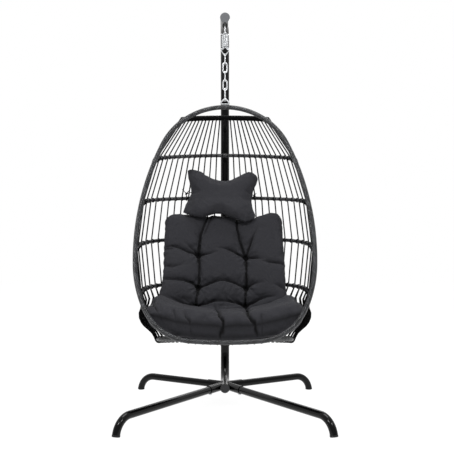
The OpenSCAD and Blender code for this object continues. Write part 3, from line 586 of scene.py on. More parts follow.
class EGGCHAIR_OT_stage(bpy.types.Operator):
    """Add the camera, the lamps, the white surround and the floor"""

    bl_idname = "eggchair.stage"
    bl_label = "Stage"

    def execute(self, context):
        scene = context.scene
        scene.view_settings.view_transform = "Standard"
        deselect()
        bpy.ops.object.camera_add(location=(0, -CAMERA_BACK, CAMERA_UP),
                                  rotation=(math.pi / 2, 0, 0))
        scene.camera = context.object
        camera = scene.camera.data
        camera.sensor_width = 36.0
        camera.lens = FOCAL / FRAME * camera.sensor_width
        camera.shift_x, camera.shift_y = SHIFT[0] / FRAME, SHIFT[1] / FRAME
        for name, place, size, power in LAMPS:
            bpy.ops.object.light_add(type="AREA", location=place)
            lamp = context.object
            lamp.name = name
            lamp.data.size = size
            lamp.data.energy = power
            aim = LAMPS_AIM - Vector(place)
            lamp.rotation_euler = aim.to_track_quat("-Z", "Y").to_euler()
        self.surround(scene)
        self.floor(context)
        return {"FINISHED"}

    def surround(self, scene):
        """A studio that is white behind the object and dark on the camera's side."""
        world = bpy.data.worlds.new("studio")
        scene.world = world
        world.use_nodes = True
        tree = world.node_tree
        tree.nodes.clear()
        lit = node(tree, "ShaderNodeBackground", {"Color": WHITE, "Strength": 0.3})
        way = node(tree, "ShaderNodeTexCoord").outputs["Generated"]
        way = node(tree, "ShaderNodeSeparateXYZ", {0: way}).outputs
        level = node(tree, "ShaderNodeMapRange", {"Value": way["Y"], "From Min": -0.5,
                                                  "From Max": 0.35, "To Min": 0.4})
        straight = node(tree, "ShaderNodeLightPath").outputs["Is Camera Ray"]
        level = node(tree, "ShaderNodeMath", {0: level, 1: straight}, operation="MAXIMUM")
        white = node(tree, "ShaderNodeBackground", {"Color": WHITE, "Strength": level})
        mixed = node(tree, "ShaderNodeMixShader", {0: seen(tree), 1: lit, 2: white})
        node(tree, "ShaderNodeOutputWorld", {"Surface": mixed})

    def floor(self, context):
        """A matt floor that shows white, and keeps the object's shadow."""
        bpy.ops.mesh.primitive_plane_add(size=16.0)
        floor = context.object
        floor.name = "floor"
        material, tree, bsdf = start_material("studio_floor")
        fill(tree, bsdf, {"Base Color": rgba(colours().floor), "Roughness": 0.9,
                          "Specular IOR Level": 0.0})
        glow = node(tree, "ShaderNodeEmission", {"Color": WHITE, "Strength": 1.14})
        share = node(tree, "ShaderNodeMath", {0: seen(tree), 1: 0.84}, operation="MULTIPLY")
        mixed = node(tree, "ShaderNodeMixShader", {0: share, 1: bsdf, 2: glow})
        fill(tree, tree.nodes["Material Output"], {"Surface": mixed})
        floor.data.materials.append(material)


# Places along the lowest run of a side cord, and how much of its bulge shows at each
BULGE = [(0.1, 0.0), (0.2, 0.03), (0.3, 0.35), (0.4, 0.8), (0.5, 1.0), (0.6, 0.98),
         (0.68, 0.8), (0.76, 0.42), (0.84, 0.1), (0.92, 0.0)]
# How far a run bulges, by its place from the middle of the back (0) to the rim (1)
BULGE_SIDE = [0.42, 0.5, 0.58, 0.64, 0.69, 0.75, 0.81, 0.86, 0.92, 0.97]
BULGE_REACH = [0, 6, 20, 40, 47, 38.6, 33, 31.3, 31.5, 34.5]
# Turns of cord on a bar, in cord widths along it from the crossing
END_TURNS, LOOSE_TURNS, HOOP_TURNS = (-1.35, -0.45, 0.45, 1.35), (-0.9, 0.0, 0.9), (0.0,)
# Cords at each side that start behind the rim, with no turns on the top bar
HIDDEN_STARTS = 3


def sagging(i, start, end):
    """The lowest run of a side cord, which the seat pushes outward."""
    side = abs((i + 0.5) / CORDS - 0.5) * 2
    reach = float(np.interp(side, BULGE_SIDE, BULGE_REACH))
    return [start.lerp(end, t) + Vector((math.copysign(reach * push, start.x), 0, 0))
            for t, push in BULGE]


def cord_turns(mid, run, out, bar_d, shifts, layer=0.0):
    """Turns of cord round a bar, each open at the back where it goes under itself."""
    thick = sizes().wrap_thick / MM
    radius = bar_d / 2 + thick / 2 - BITE + thick * layer
    return [arc(mid + run * shift * thick, out, run.cross(out), radius, 0, 324, 9)
            for shift in shifts]


class EGGCHAIR_OT_lacing(bpy.types.Operator):
    """Lace the back and side cords over the hoops, with their turns round each bar"""

    bl_idname = "eggchair.lacing"
    bl_label = "Lacing cords"

    def execute(self, context):
        lines, turns = [], []
        for i in range(CORDS):
            found = lacing((i + 0.5) / CORDS)
            lines.append(self.back_cord(i, found))
            if i:
                # The cord comes back up from the bottom bar to the next place on the seat hoop
                high = lacing((i - 0.5) / CORDS)[LAST - 1].point
                low = found[LAST].point - found[LAST].run * 3
                lines.append([high] + sagging(i - 0.5, high, low) + [low])
            turns += self.back_turns(i, found)
        floor_lines, floor_turns = self.floor_cords()
        cords = tube("lacing_cords", lines, sizes().lace_thick / MM, sides=8)
        finish_piece(cords, "basket", lacing_cord(), ["side_cords"])
        cords = tube("floor_cords", floor_lines, CORD_D, sides=8)
        finish_piece(cords, "basket", lacing_cord(), ["floor_cords_set"])
        turns = tube("cord_turns", turns + floor_turns, sizes().wrap_thick / MM, sides=6,
                     closed=True)
        finish_piece(turns, "basket", lacing_cord())
        return {"FINISHED"}

    def back_cord(self, i, found):
        """A cord from the top bar to the bottom bar, bent a little over each hoop."""
        spots = [crossing.point for crossing in found]
        off = (spots[1] - spots[0]).normalized()
        points = [spots[0] - off * 6]
        for k in range(1, LAST):
            into, off = off, (spots[k + 1] - spots[k]).normalized()
            points += [spots[k] - into * 5, spots[k] - found[k].out * 0.5, spots[k] + off * 5]
        return points + sagging(i, spots[-2], spots[-1]) + [spots[-1] + off * 4]

    def back_turns(self, i, found):
        """The turns of one cord round all its bars."""
        turns = []
        for k, (bar, at) in enumerate(zip(BARS.values(), found)):
            shifts = END_TURNS if k in (0, LAST) else HOOP_TURNS
            if k == 0 and not HIDDEN_STARTS <= i < CORDS - HIDDEN_STARTS:
                shifts = ()
            turns += cord_turns(at.mid, at.run, at.out, bar.d, shifts)
        # A second, looser layer of turns ends each cord on the bottom bar
        loose = at.mid - Vector((math.copysign(3, at.mid.x), 0, 2.5))
        return turns + cord_turns(loose, at.run, at.out, bar.d, LOOSE_TURNS, 0.8)

    def floor_cords(self):
        """The cords under the seat, from the rim's foot to the bottom bar, and their turns."""
        bar = BARS["bottom_bar"]
        half = bar.path[2][0] / 2
        flare, rise = math.radians(BOTTOM["flare"]), math.radians(bar.rise)
        depth = BOTTOM["arm"] * math.cos(flare) + BOTTOM["r"] * (1 + math.sin(flare))
        back = in_rim(0, bar.drop) + Vector((0, depth * math.cos(rise), depth * math.sin(rise)))
        lines, turns = [], []
        for i in range(FLOOR_CORDS):
            x = half * (2 * (i + 0.5) / FLOOR_CORDS - 1)
            place = along(RIM_HALF, RIM_RUN - abs(x))
            front = in_rim(math.copysign(place[0], x), place[1])
            rear = back + ACROSS * x
            run = (rear - front).normalized()
            under = run.cross(ACROSS).normalized()
            a = front + under * ((RIM_D + CORD_D) / 2 + RIM_CORD_GAP)
            c = rear + under * ((bar.d + CORD_D) / 2 + CORD_GAP)
            dip = a + run * 60
            # The front end goes in between the rim's strips, behind and below
            hold = front + (under + run).normalized() * (RIM_D / 2 - 1)
            lines.append([hold, hold.lerp(dip, 0.5), dip, a.lerp(c, 0.6), c, c + run * 4])
            turns += cord_turns(rear, -ACROSS, under, bar.d, (0.5, -0.5))
        return lines, turns


class EGGCHAIR_OT_wicker(bpy.types.Operator):
    """Bind the rim and the hoops with flat wicker strip"""

    bl_idname = "eggchair.wicker"
    bl_label = "Wicker binding"

    def execute(self, context):
        count = 170
        half = [in_rim(*along(RIM_HALF, RIM_RUN * i / count)[:2]) for i in range(count + 1)]
        points = half + [Vector((-p.x, p.y, p.z)) for p in half[-2:0:-1]]
        rim = tube("rim_binding", [points], RIM_D, sides=20, closed=True)
        finish_piece(rim, "basket", wicker_strip(), ["rim"])
        for name, bar in BARS.items():
            # A bar's binding starts 3 mm under the rim's surface
            piece = tube(name + "_binding", [bar_points(bar, 8.0, RIM_D / 2 - 3)], bar.d,
                         sides=16)
            finish_piece(piece, "basket", wicker_strip(), [name])
        return {"FINISHED"}


def dress(names, material):
    """Gives CAD nodes their material."""
    for name in names:
        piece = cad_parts[name]
        piece.data.materials.clear()
        piece.data.materials.append(material)


class EGGCHAIR_OT_hanging_train(bpy.types.Operator):
    """Wind the spring in smooth wire, and plate the hooks, links and ring"""

    bl_idname = "eggchair.hanging_train"
    bl_label = "Spring and ring"

    def execute(self, context):
        zinc = bright_zinc()
        c = COIL
        per_turn = 24
        rise = c["high"] - c["low"] - c["wire"]
        steps = c["turns"] * per_turn
        points = []
        for i in range(steps + 1):
            a = math.tau * i / per_turn
            points.append(Vector((c["r"] * math.cos(a), HANG_BACK + c["r"] * math.sin(a),
                                  c["low"] + c["wire"] / 2 + rise * i / steps)))
        tail = Vector((0, c["wire"], 0))
        coil = tube("coil_wire", [[points[0] - tail] + points + [points[-1] + tail]], c["wire"])
        finish_piece(coil, "spring", zinc, ["spring_coil"])
        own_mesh(coil)
        dress(("upper_hook", "upper_gate", "upper_drawbar", "lower_drawbar", "link_a", "link_b",
               "link_c", "link_d", "lower_hook", "lower_gate", "leg_bolts", "hang_ring"), zinc)
        return {"FINISHED"}


class EGGCHAIR_OT_stand(bpy.types.Operator):
    """Finish the stand's tubes, plugs and feet"""

    bl_idname = "eggchair.stand"
    bl_label = "Stand"

    def execute(self, context):
        dress(("base_hub", "post_collar", "upper_post", "arm_eye", "leg_front_left",
               "leg_front_right", "leg_rear_left", "leg_rear_right"), stoved_black_paint())
        dress(("arm_cap",), moulded_plug())
        dress(("hub_cap",), moulded_plug("moulded_dark_polypropylene", 0.32))
        dress(("foot_caps",), foot_rubber())
        return {"FINISHED"}


# ---- the cushion's cover, in millimetres across (x) and along it from its front (s) ----

# The rim is widest where its top bend ends
WIDEST = math.sin(math.radians(RIM_STEPS[0][1]))
WIDEST = RIM_STEPS[0][0] * WIDEST + RIM_STEPS[1][0] * (1 - WIDEST)
SEAT_HALF = WIDEST - 61
BACK_HALF = SEAT_HALF - 55
SEAT_FRONT = in_rim(0, RIM_DROP).y + 17
SEAT_MID = in_rim(0, RIM_DROP).z + 62.3
# The seat ends ahead of the back of the seat hoop, where the cover folds upward
SEAT_DROP, SEAT_RISE, SEAT_DEPTH = HOOPS["seat_hoop"][:3]
SEAT_RUN = (in_rim(0, SEAT_DROP).y + SEAT_DEPTH * math.cos(math.radians(SEAT_RISE)) - 169
            - SEAT_FRONT)
FOLD_R, FOLD_TURN = 75.0, math.radians(70.8)
FOLD_END = SEAT_RUN + FOLD_R * FOLD_TURN
FOLD_MID = (SEAT_RUN + FOLD_END) / 2
COVER_RUN = FOLD_END + RIM_DROP - HOOPS["head_hoop"][0] - 152.3
# Half thickness of the filling, and how far in from each edge it is full
FILLING, SIDE_R, FRONT_R, TOP_R = 56, 50, 58, 44
# The outline of the cushion's top, with round corners and a dip at the right-hand fold
TOP_ACROSS = [-294, -285, -262, -225, -150, -70, 50, 66, 120, 180, 235, 262, 285, 294]
TOP_LINE = [-66, -46, -24, -12, -7, -6, -7, -25, -22, -14, -8, -16, -44, -66]
TUFT_R = 12
TUFTS = [(-129, 585), (102, 576), (-128, 420), (102, 420), (-135, 324), (97, 328)]
# Folds of the cover: each is a list of (x, s), and its depth at its start, middle and end
FOLDS = [
    ([(-84, 800), (-105, 741), (-120, 687), (-126, 636), (-129, 585)], 9, 10, 16),
    ([(-66, 790), (-90, 729), (-105, 684), (-118, 640)], 6, 6, 0),
    ([(-129, 585), (-124, 510), (-128, 420)], 16, 9, 16),
    ([(-128, 420), (-132, 372), (-135, 324)], 16, 9, 15),
    ([(58, 800), (60, 765), (69, 687), (87, 621), (102, 576)], 9, 10, 16),
    ([(176, 750), (168, 732), (144, 690), (123, 642), (103, 582)], 0, 8, 14),
    ([(102, 576), (105, 489), (102, 420)], 16, 9, 16),
    ([(102, 420), (99, 372), (97, 328)], 16, 9, 15),
    ([(-129, 585), (-81, 594), (-18, 609)], 13, 7, 0),
    ([(-60, 621), (-15, 624), (33, 612), (78, 588), (102, 576)], 0, 9, 13),
    ([(-129, 585), (-153, 609), (-189, 639), (-216, 654)], 11, 6, 0),
    ([(-129, 585), (-177, 597), (-216, 612), (-255, 621), (-296, 627)], 11, 8, 5),
    ([(-216, 594), (-255, 603), (-296, 615)], 0, 5, 5),
    ([(-270, 582), (-296, 573)], 0, 4, 4),
    ([(102, 576), (150, 570), (213, 555)], 12, 8, 0),
    ([(162, 555), (231, 537), (284, 528)], 0, 8, 6),
    ([(-297, 522), (-252, 513), (-213, 525), (-186, 549)], 6, 6, 0),
    ([(-294, 453), (-249, 450), (-195, 450), (-153, 438), (-128, 420)], 5, 8, 13),
    ([(-128, 420), (-90, 435), (-48, 453), (-9, 460), (36, 450), (75, 432), (102, 420)],
     13, 8, 13),
    ([(102, 420), (132, 435), (165, 441), (201, 438)], 12, 7, 0),
    ([(228, 429), (261, 417), (293, 399)], 0, 7, 5),
    ([(-135, 324), (-183, 330), (-222, 348), (-270, 369)], 14, 8, 0),
    ([(-144, 334), (-189, 357), (-243, 375)], 6, 5, 0),
    ([(-135, 324), (-78, 345), (-36, 357), (9, 354), (54, 345), (97, 328)], 14, 8, 14),
    ([(97, 328), (129, 339), (162, 357), (207, 366), (255, 366)], 14, 9, 0),
    ([(141, 372), (186, 378), (222, 384)], 0, 5, 0),
    ([(-3, 390), (36, 363), (69, 342)], 0, 5, 7),
    ([(-51, 330), (-40, 249), (-33, 140), (-24, 36), (-9, 9), (-8, 0)], 3, 11, 15),
    ([(97, 328), (105, 250), (104, 140), (103, 39), (117, 9), (134, 0)], 8, 12, 15),
    ([(147, 297), (122, 261), (104, 200)], 0, 6, 6),
    ([(162, 26), (165, 0)], 0, 5, 6),
    ([(-326, 150), (-330, 100), (-322, 50), (-300, 10)], 4, 12, 8),
    ([(-225, 60), (-228, 20), (-222, 0)], 0, 6, 6),
    ([(-180, 40), (-174, 10), (-156, 0)], 0, 7, 8),
]
# The front folds run on under the seat
UNDER_FOLDS = [
    ([(-8, 0), (-22, 6), (-22, 40)], 13, 9, 0),
    ([(134, 0), (142, 8), (150, 44)], 12, 8, 0),
    ([(165, 0), (166, 26)], 6, 4, 0),
    ([(-156, 0), (-138, 30)], 5, 4, 0),
]
# How far a fold draws in the cloth beside it, before and after the cover is filled
FOLD_WIDE, SEWN_WIDE = 17, 5

# The head pillow's middle and its outline, across and up in its own leaning plane
PILLOW_MID = np.array([-12.0, 177.0, 1043.6])
PILLOW_LEAN = math.radians(22)
PILLOW_FILLING, SEAM_ALLOWANCE, TIE_D = 40, 1.022, 3.6
PILLOW_TOP = [(-174, 128), (-160, 134), (-144, 131), (-103, 118), (-79, 101), (-53, 86),
              (-17, 76), (6, 74), (32, 76), (61, 87), (102, 108), (126, 119), (146, 116),
              (167, 100)]
PILLOW_RIGHT = [(155, -130), (160, -118), (156, -105), (148, -74), (143, -40), (149, -1),
                (154, 24), (166, 50), (174, 79), (167, 100)]
PILLOW_LOW = [(-192, -98), (-151, -115), (-100, -124), (-77, -117), (-37, -105), (-8, -105),
              (20, -117), (49, -129), (86, -141), (106, -147), (134, -140), (155, -130)]
PILLOW_LEFT = [(-192, -98), (-181, -58), (-170, -30), (-158, -1), (-156, 18), (-161, 47),
               (-169, 85), (-174, 128)]
PILLOW_FOLDS = [
    ([(-150, 14), (-133, 10), (-119, 5), (-100, -5)], 3, 5, 0),
    ([(100, -119), (132, -116), (152, -96)], 0, 6, 5),
    ([(84, -100), (98, -92), (110, -76)], 0, 4, 0),
    ([(-17, 70), (-16, 34)], 4, 2, 0),
    ([(98, -131), (129, -131), (152, -115)], 0, 5, 4),
    ([(-40, 74), (-34, 52)], 3, 2, 0),
    ([(16, 74), (14, 48)], 3, 2, 0),
    ([(143, -6), (120, 0), (98, 2)], 5, 3, 0),
    ([(-156, 0), (-132, -8), (-110, -8)], 5, 3, 0),
]


def lift(t):
    """Rises from 0 to 1 with t, and stays there."""
    return np.clip(t, 0.0, 1.0)


def crown(d, r):
    """The height of a quarter round of radius r at d in from its edge, from 0 to 1."""
    return np.sqrt(np.clip(1 - np.clip(1 - d / r, 0, 1) ** 2, 0, 1))


def cover_half(s):
    """Half width of the cushion at lengths s along it."""
    a, b = SEAT_HALF, BACK_HALF
    return np.interp(s, [0, 30, 70, 125, SEAT_RUN, FOLD_END, FOLD_END + 90, COVER_RUN],
                     [a - 14, a + 1, a + 13, a - 6, a - 16, b + 8, b + 4, b])


def cover_places(x, s, side):
    """Points of the cushion's face (side 1) or underside (side -1), before its folds."""
    half = cover_half(s)
    share = np.abs(x) / half
    up = lift((s - SEAT_RUN * 0.7) / (FOLD_END - SEAT_RUN * 0.7))
    # The front's corners stand back, and the top follows its outline
    ahead = 24 * lift((share - 0.54) / 0.32) ** 2 * (1 - up)
    lobe = lift((s - FOLD_MID) / (COVER_RUN - FOLD_MID))
    run = s + ahead * (1 - s / COVER_RUN) + lobe ** 3 * np.interp(x, TOP_ACROSS, TOP_LINE)
    turn = np.clip((run - SEAT_RUN) / FOLD_R, 0, FOLD_TURN)
    rest = np.maximum(run - FOLD_END, 0)
    y = np.minimum(run, SEAT_RUN) + FOLD_R * np.sin(turn) + rest * np.cos(turn)
    z = FOLD_R * (1 - np.cos(turn)) + rest * np.sin(turn)
    # The back is thinner than the seat
    full = FILLING * (1 - 0.24 * up)
    filled = (full * crown(half - np.abs(x), SIDE_R) * crown(s, FRONT_R)
              * crown(COVER_RUN - s, TOP_R))
    # From side to side the seat bends to a radius of 1225 mm, and the back to 600 mm
    sag = x * x / 2 * (1 / 1225 + (1 / 600 - 1 / 1225) * up)
    low = 15 * lift(1 - s / 120) * (side < 0) * crown(half - np.abs(x), 160)
    # The seat's sides rise where they lie against the cords
    wing = 26 * lift((share - 0.5) / 0.35) ** 2 * np.exp(-((s - 195) / 75) ** 2)
    # The back is pressed flat against the seat hoop
    press = 9 * np.exp(-((s - 465) / 90) ** 2 - (x / 290) ** 6) * (side < 0)
    out = sag + side * filled + 12 * lift(1 - s / FRONT_R) ** 2 - low + wing + press
    x = x - np.where(x < 0, 22 * np.exp(-((s - FOLD_END - 10) / 75) ** 2) + 5 * lobe,
                     9 * lobe) * share ** 2
    return np.stack([x, SEAT_FRONT + y - out * np.sin(turn), SEAT_MID + z + out * np.cos(turn)],
                    axis=-1)


def fold_depths(x, s, folds, wide):
    """How deep the folds are at each place; where some meet, the deepest counts most."""
    total = np.zeros(x.shape)
    for line, first, middle, last in folds:
        line = np.array(line, float)
        cuts = np.hypot(*np.diff(line, axis=0).T)
        run = np.concatenate([[0], np.cumsum(cuts)])
        best = np.full(x.shape, 1e9)
        place = np.zeros(x.shape)
        for i, cut in enumerate(cuts):
            d = (line[i + 1] - line[i]) / cut
            t = np.clip((x - line[i][0]) * d[0] + (s - line[i][1]) * d[1], 0, cut)
            away = np.hypot(x - line[i][0] - t * d[0], s - line[i][1] - t * d[1])
            near = away < best
            best = np.where(near, away, best)
            place = np.where(near, run[i] + t, place)
        depth = np.interp(place / run[-1], [0, 0.25, 0.5, 0.75, 1],
                          [first, (first + middle) / 2, middle, (last + middle) / 2, last])
        total += (depth * np.exp(-best / wide)) ** 3
    return np.cbrt(total)


def pad_mesh(name, face, back, places):
    """A closed pad from a grid of face points and one of back points that share an edge.

    The attribute cloth_place keeps each vertex's place on the cover, and its side: 1 on the
    face, 0.5 on the edge and 0 on the back.
    """
    n, m = face.shape[:2]
    f = np.arange(n * m).reshape(n, m)
    b = f.copy()
    b[1:-1, 1:-1] = n * m + np.arange((n - 2) * (m - 2)).reshape(n - 2, m - 2)
    points = np.concatenate([face.reshape(-1, 3), back[1:-1, 1:-1].reshape(-1, 3)]) * MM
    quads = []
    for grid, way in ((f, 1), (b, -1)):
        quad = np.stack([grid[:-1, :-1], grid[1:, :-1], grid[1:, 1:], grid[:-1, 1:]], axis=-1)
        quads.append(quad.reshape(-1, 4)[:, ::way])
    mesh = bpy.data.meshes.new(name)
    mesh.from_pydata(points.tolist(), [], np.concatenate(quads).tolist())
    on_face = np.full(len(points), 0.0)
    on_face[:n * m] = 1.0
    on_face[np.concatenate([f[0], f[-1], f[:, 0], f[:, -1]])] = 0.5
    flat = np.concatenate([places.reshape(-1, 2), places[1:-1, 1:-1].reshape(-1, 2)]) * MM
    layer = mesh.attributes.new("cloth_place", "FLOAT_VECTOR", "POINT")
    layer.data.foreach_set("vector", np.column_stack([flat, on_face]).ravel())
    piece = bpy.data.objects.new(name, mesh)
    bpy.context.scene.collection.objects.link(piece)
    choose(piece)
    bpy.ops.object.mode_set(mode="EDIT")
    bpy.ops.mesh.select_all(action="SELECT")
    bpy.ops.mesh.normals_make_consistent(inside=False)
    bpy.ops.object.mode_set(mode="OBJECT")
    return piece


def triples(data, key):
    """The vectors of a mesh's vertices or of an attribute, one to a row."""
    found = np.empty(len(data) * 3)
    data.foreach_get(key, found)
    return found.reshape(-1, 3)


def cloth_places(mesh):
    """Each vertex's place on the cover, in millimetres, and its side: 1 is on the face."""
    places = triples(mesh.attributes["cloth_place"].data, "vector")
    return places[:, 0] / MM, places[:, 1] / MM, places[:, 2]


def draw_in(mesh, depth):
    """Moves each vertex inward along its normal, by its depth in millimetres."""
    spots = triples(mesh.vertices, "co")
    spots -= triples(mesh.vertex_normals, "vector") * depth[:, None] * MM
    mesh.vertices.foreach_set("co", spots.ravel())
    mesh.update()


def keep_painted_fold_shade(mesh, painted_fold_shade):
    """Keeps how far each vertex lies inside a fold or at the seam, as painted shade for the
    cloth's colour.
    """
    mesh.attributes.new("painted_fold_shade", "FLOAT", "POINT").data.foreach_set("value", painted_fold_shade)


HOLD_LEVELS = FILLING_FRAMES = 20


def puff(piece, held, pressure, slack, cap):
    """Fills a cover with air by a cloth simulation.

    Held is how firmly each vertex stays, and cap the most that it may move.
    """
    mesh = piece.data
    group = piece.vertex_groups.new(name="held")
    levels = np.round(held * HOLD_LEVELS).astype(int)
    for level in range(1, HOLD_LEVELS + 1):
        group.add(np.nonzero(levels == level)[0].tolist(), level / HOLD_LEVELS, "REPLACE")
    before = triples(mesh.vertices, "co")
    cloth = piece.modifiers.new("cover", "CLOTH").settings
    for key, value in dict(quality=6, mass=0.2, tension_stiffness=22, compression_stiffness=12,
                           shear_stiffness=6, bending_stiffness=0.35, use_pressure=True,
                           uniform_pressure_force=pressure, shrink_min=-slack,
                           vertex_group_mass="held").items():
        setattr(cloth, key, value)
    cloth.effector_weights.gravity = 0
    for step in range(1, FILLING_FRAMES + 1):
        bpy.context.scene.frame_set(step)
    filled = piece.evaluated_get(bpy.context.evaluated_depsgraph_get())
    after = triples(filled.data.vertices, "co")
    choose(piece)
    bpy.ops.object.modifier_remove(modifier="cover")
    bpy.context.scene.frame_set(1)
    move = after - before
    far = np.linalg.norm(move, axis=1)
    move *= (np.minimum(far, cap * MM) / np.maximum(far, 1e-9))[:, None]
    mesh.vertices.foreach_set("co", (before + move).ravel())
    mesh.update()
    piece.vertex_groups.clear()


def refine(piece):
    """One level of subdivision, applied."""
    choose(piece)
    finer = piece.modifiers.new("finer", "SUBSURF")
    finer.levels = finer.render_levels = 1
    bpy.ops.object.modifier_apply(modifier="finer")


def rounded_steps(low, high, first, last, count, ends):
    """Places from low to high that crowd towards both ends as round an arc does."""
    a = np.linspace(0, math.pi / 2, ends + 1)[:-1]
    return np.concatenate([low + first * (1 - np.cos(a)), np.linspace(low + first, high - last,
                                                                      count + 1),
                           (high - last * (1 - np.cos(a)))[::-1]])


class EGGCHAIR_OT_cushion(bpy.types.Operator):
    """Make the tufted seat and back cushion"""

    bl_idname = "eggchair.cushion"
    bl_label = "Seat and back cushion"

    def execute(self, context):
        cell = sizes().cushion_cell / MM
        s = rounded_steps(0, COVER_RUN, FRONT_R, TOP_R,
                          int((COVER_RUN - FRONT_R - TOP_R) / cell), 7)
        half = cover_half(s)
        share = rounded_steps(-1, 1, 0.15, 0.15, int(600 / cell), 6)
        s = np.repeat(s[None, :], len(share), axis=0)
        x = share[:, None] * half[None, :]
        depth = fold_depths(x, s, FOLDS, FOLD_WIDE) * 0.9
        face = cover_places(x, s, 1)
        back = cover_places(x, s, -1)
        thick = np.linalg.norm(face - back, axis=-1, keepdims=True)
        down = (back - face) / np.maximum(thick, 1e-6)
        face = face + down * np.minimum(depth[..., None], thick * 0.4)
        piece = pad_mesh("seat_back_cushion", face, back, np.stack([x, s], axis=-1))
        x, s, side = cloth_places(piece.data)
        fold = fold_depths(x, s, FOLDS, SEWN_WIDE)
        tuft = np.min([np.hypot(x - a, s - b) for a, b in TUFTS], axis=0)
        # The tufts and the underside stay, the folds give a little, and the edge less than
        # the face
        held = np.clip(fold / 9 - 0.3, 0, 0.8)
        held = np.where((tuft < TUFT_R) | (side < 0.1), 1.0, held)
        cap = np.where(side < 0.6, 3.0, np.interp(s, [0, 150, 300], [12, 12, 9]))
        puff(piece, held, sizes().swell, 0.07, cap)
        refine(piece)
        self.sew(piece.data)
        finish_piece(piece, "basket", charcoal_polyester(), ["cushion"])
        bpy.ops.object.shade_smooth()
        return {"FINISHED"}

    def sew(self, mesh):
        """Draws in the folds, the puckers round each tuft and the seam round the edge, and keeps
        the painted shade of the folds and the seam.
        """
        x, s, side = cloth_places(mesh)
        face = np.where((s < 50) & (side >= 0.5), 1.0, lift((side - 0.5) * 2))
        depth = fold_depths(x, s, FOLDS, SEWN_WIDE) * face
        depth += fold_depths(x, s, UNDER_FOLDS, SEWN_WIDE + 1) * (side < 0.5)
        # Painted shade for the cloth deep in each fold
        painted_fold_shade = lift((depth - 2.0) / 5.5)
        # A tuft is a dimple with eleven broad and 23 fine puckers round it
        for i, (a, b) in enumerate(TUFTS):
            r = np.hypot(x - a, s - b)
            angle = np.arctan2(s - b, x - a)
            depth += face * (9 * np.exp(-(r / 11) ** 2)
                             + 1.9 * np.cos(11 * angle + i * 1.7) * np.exp(-((r - 30) / 22) ** 2)
                             + 0.9 * np.cos(23 * angle + i) * np.exp(-((r - 20) / 12) ** 2))
        # The seam draws in the edge, with a gather every 46 mm along it
        to_side, to_end = cover_half(s) - np.abs(x), np.minimum(s, COVER_RUN - s)
        edge = np.clip(np.minimum(to_side, to_end), 0, None)
        round_edge = np.where(to_end < to_side, x, s)
        seam = np.exp(-edge / 1.2)
        depth += 3.0 * seam + 0.8 * np.sin(round_edge / 7.3) * np.exp(-edge / 9)
        draw_in(mesh, depth)
        # The folds and the seam are kept as painted shade, which darkens the cloth's colour
        keep_painted_fold_shade(mesh, np.maximum(painted_fold_shade, 0.7 * seam))


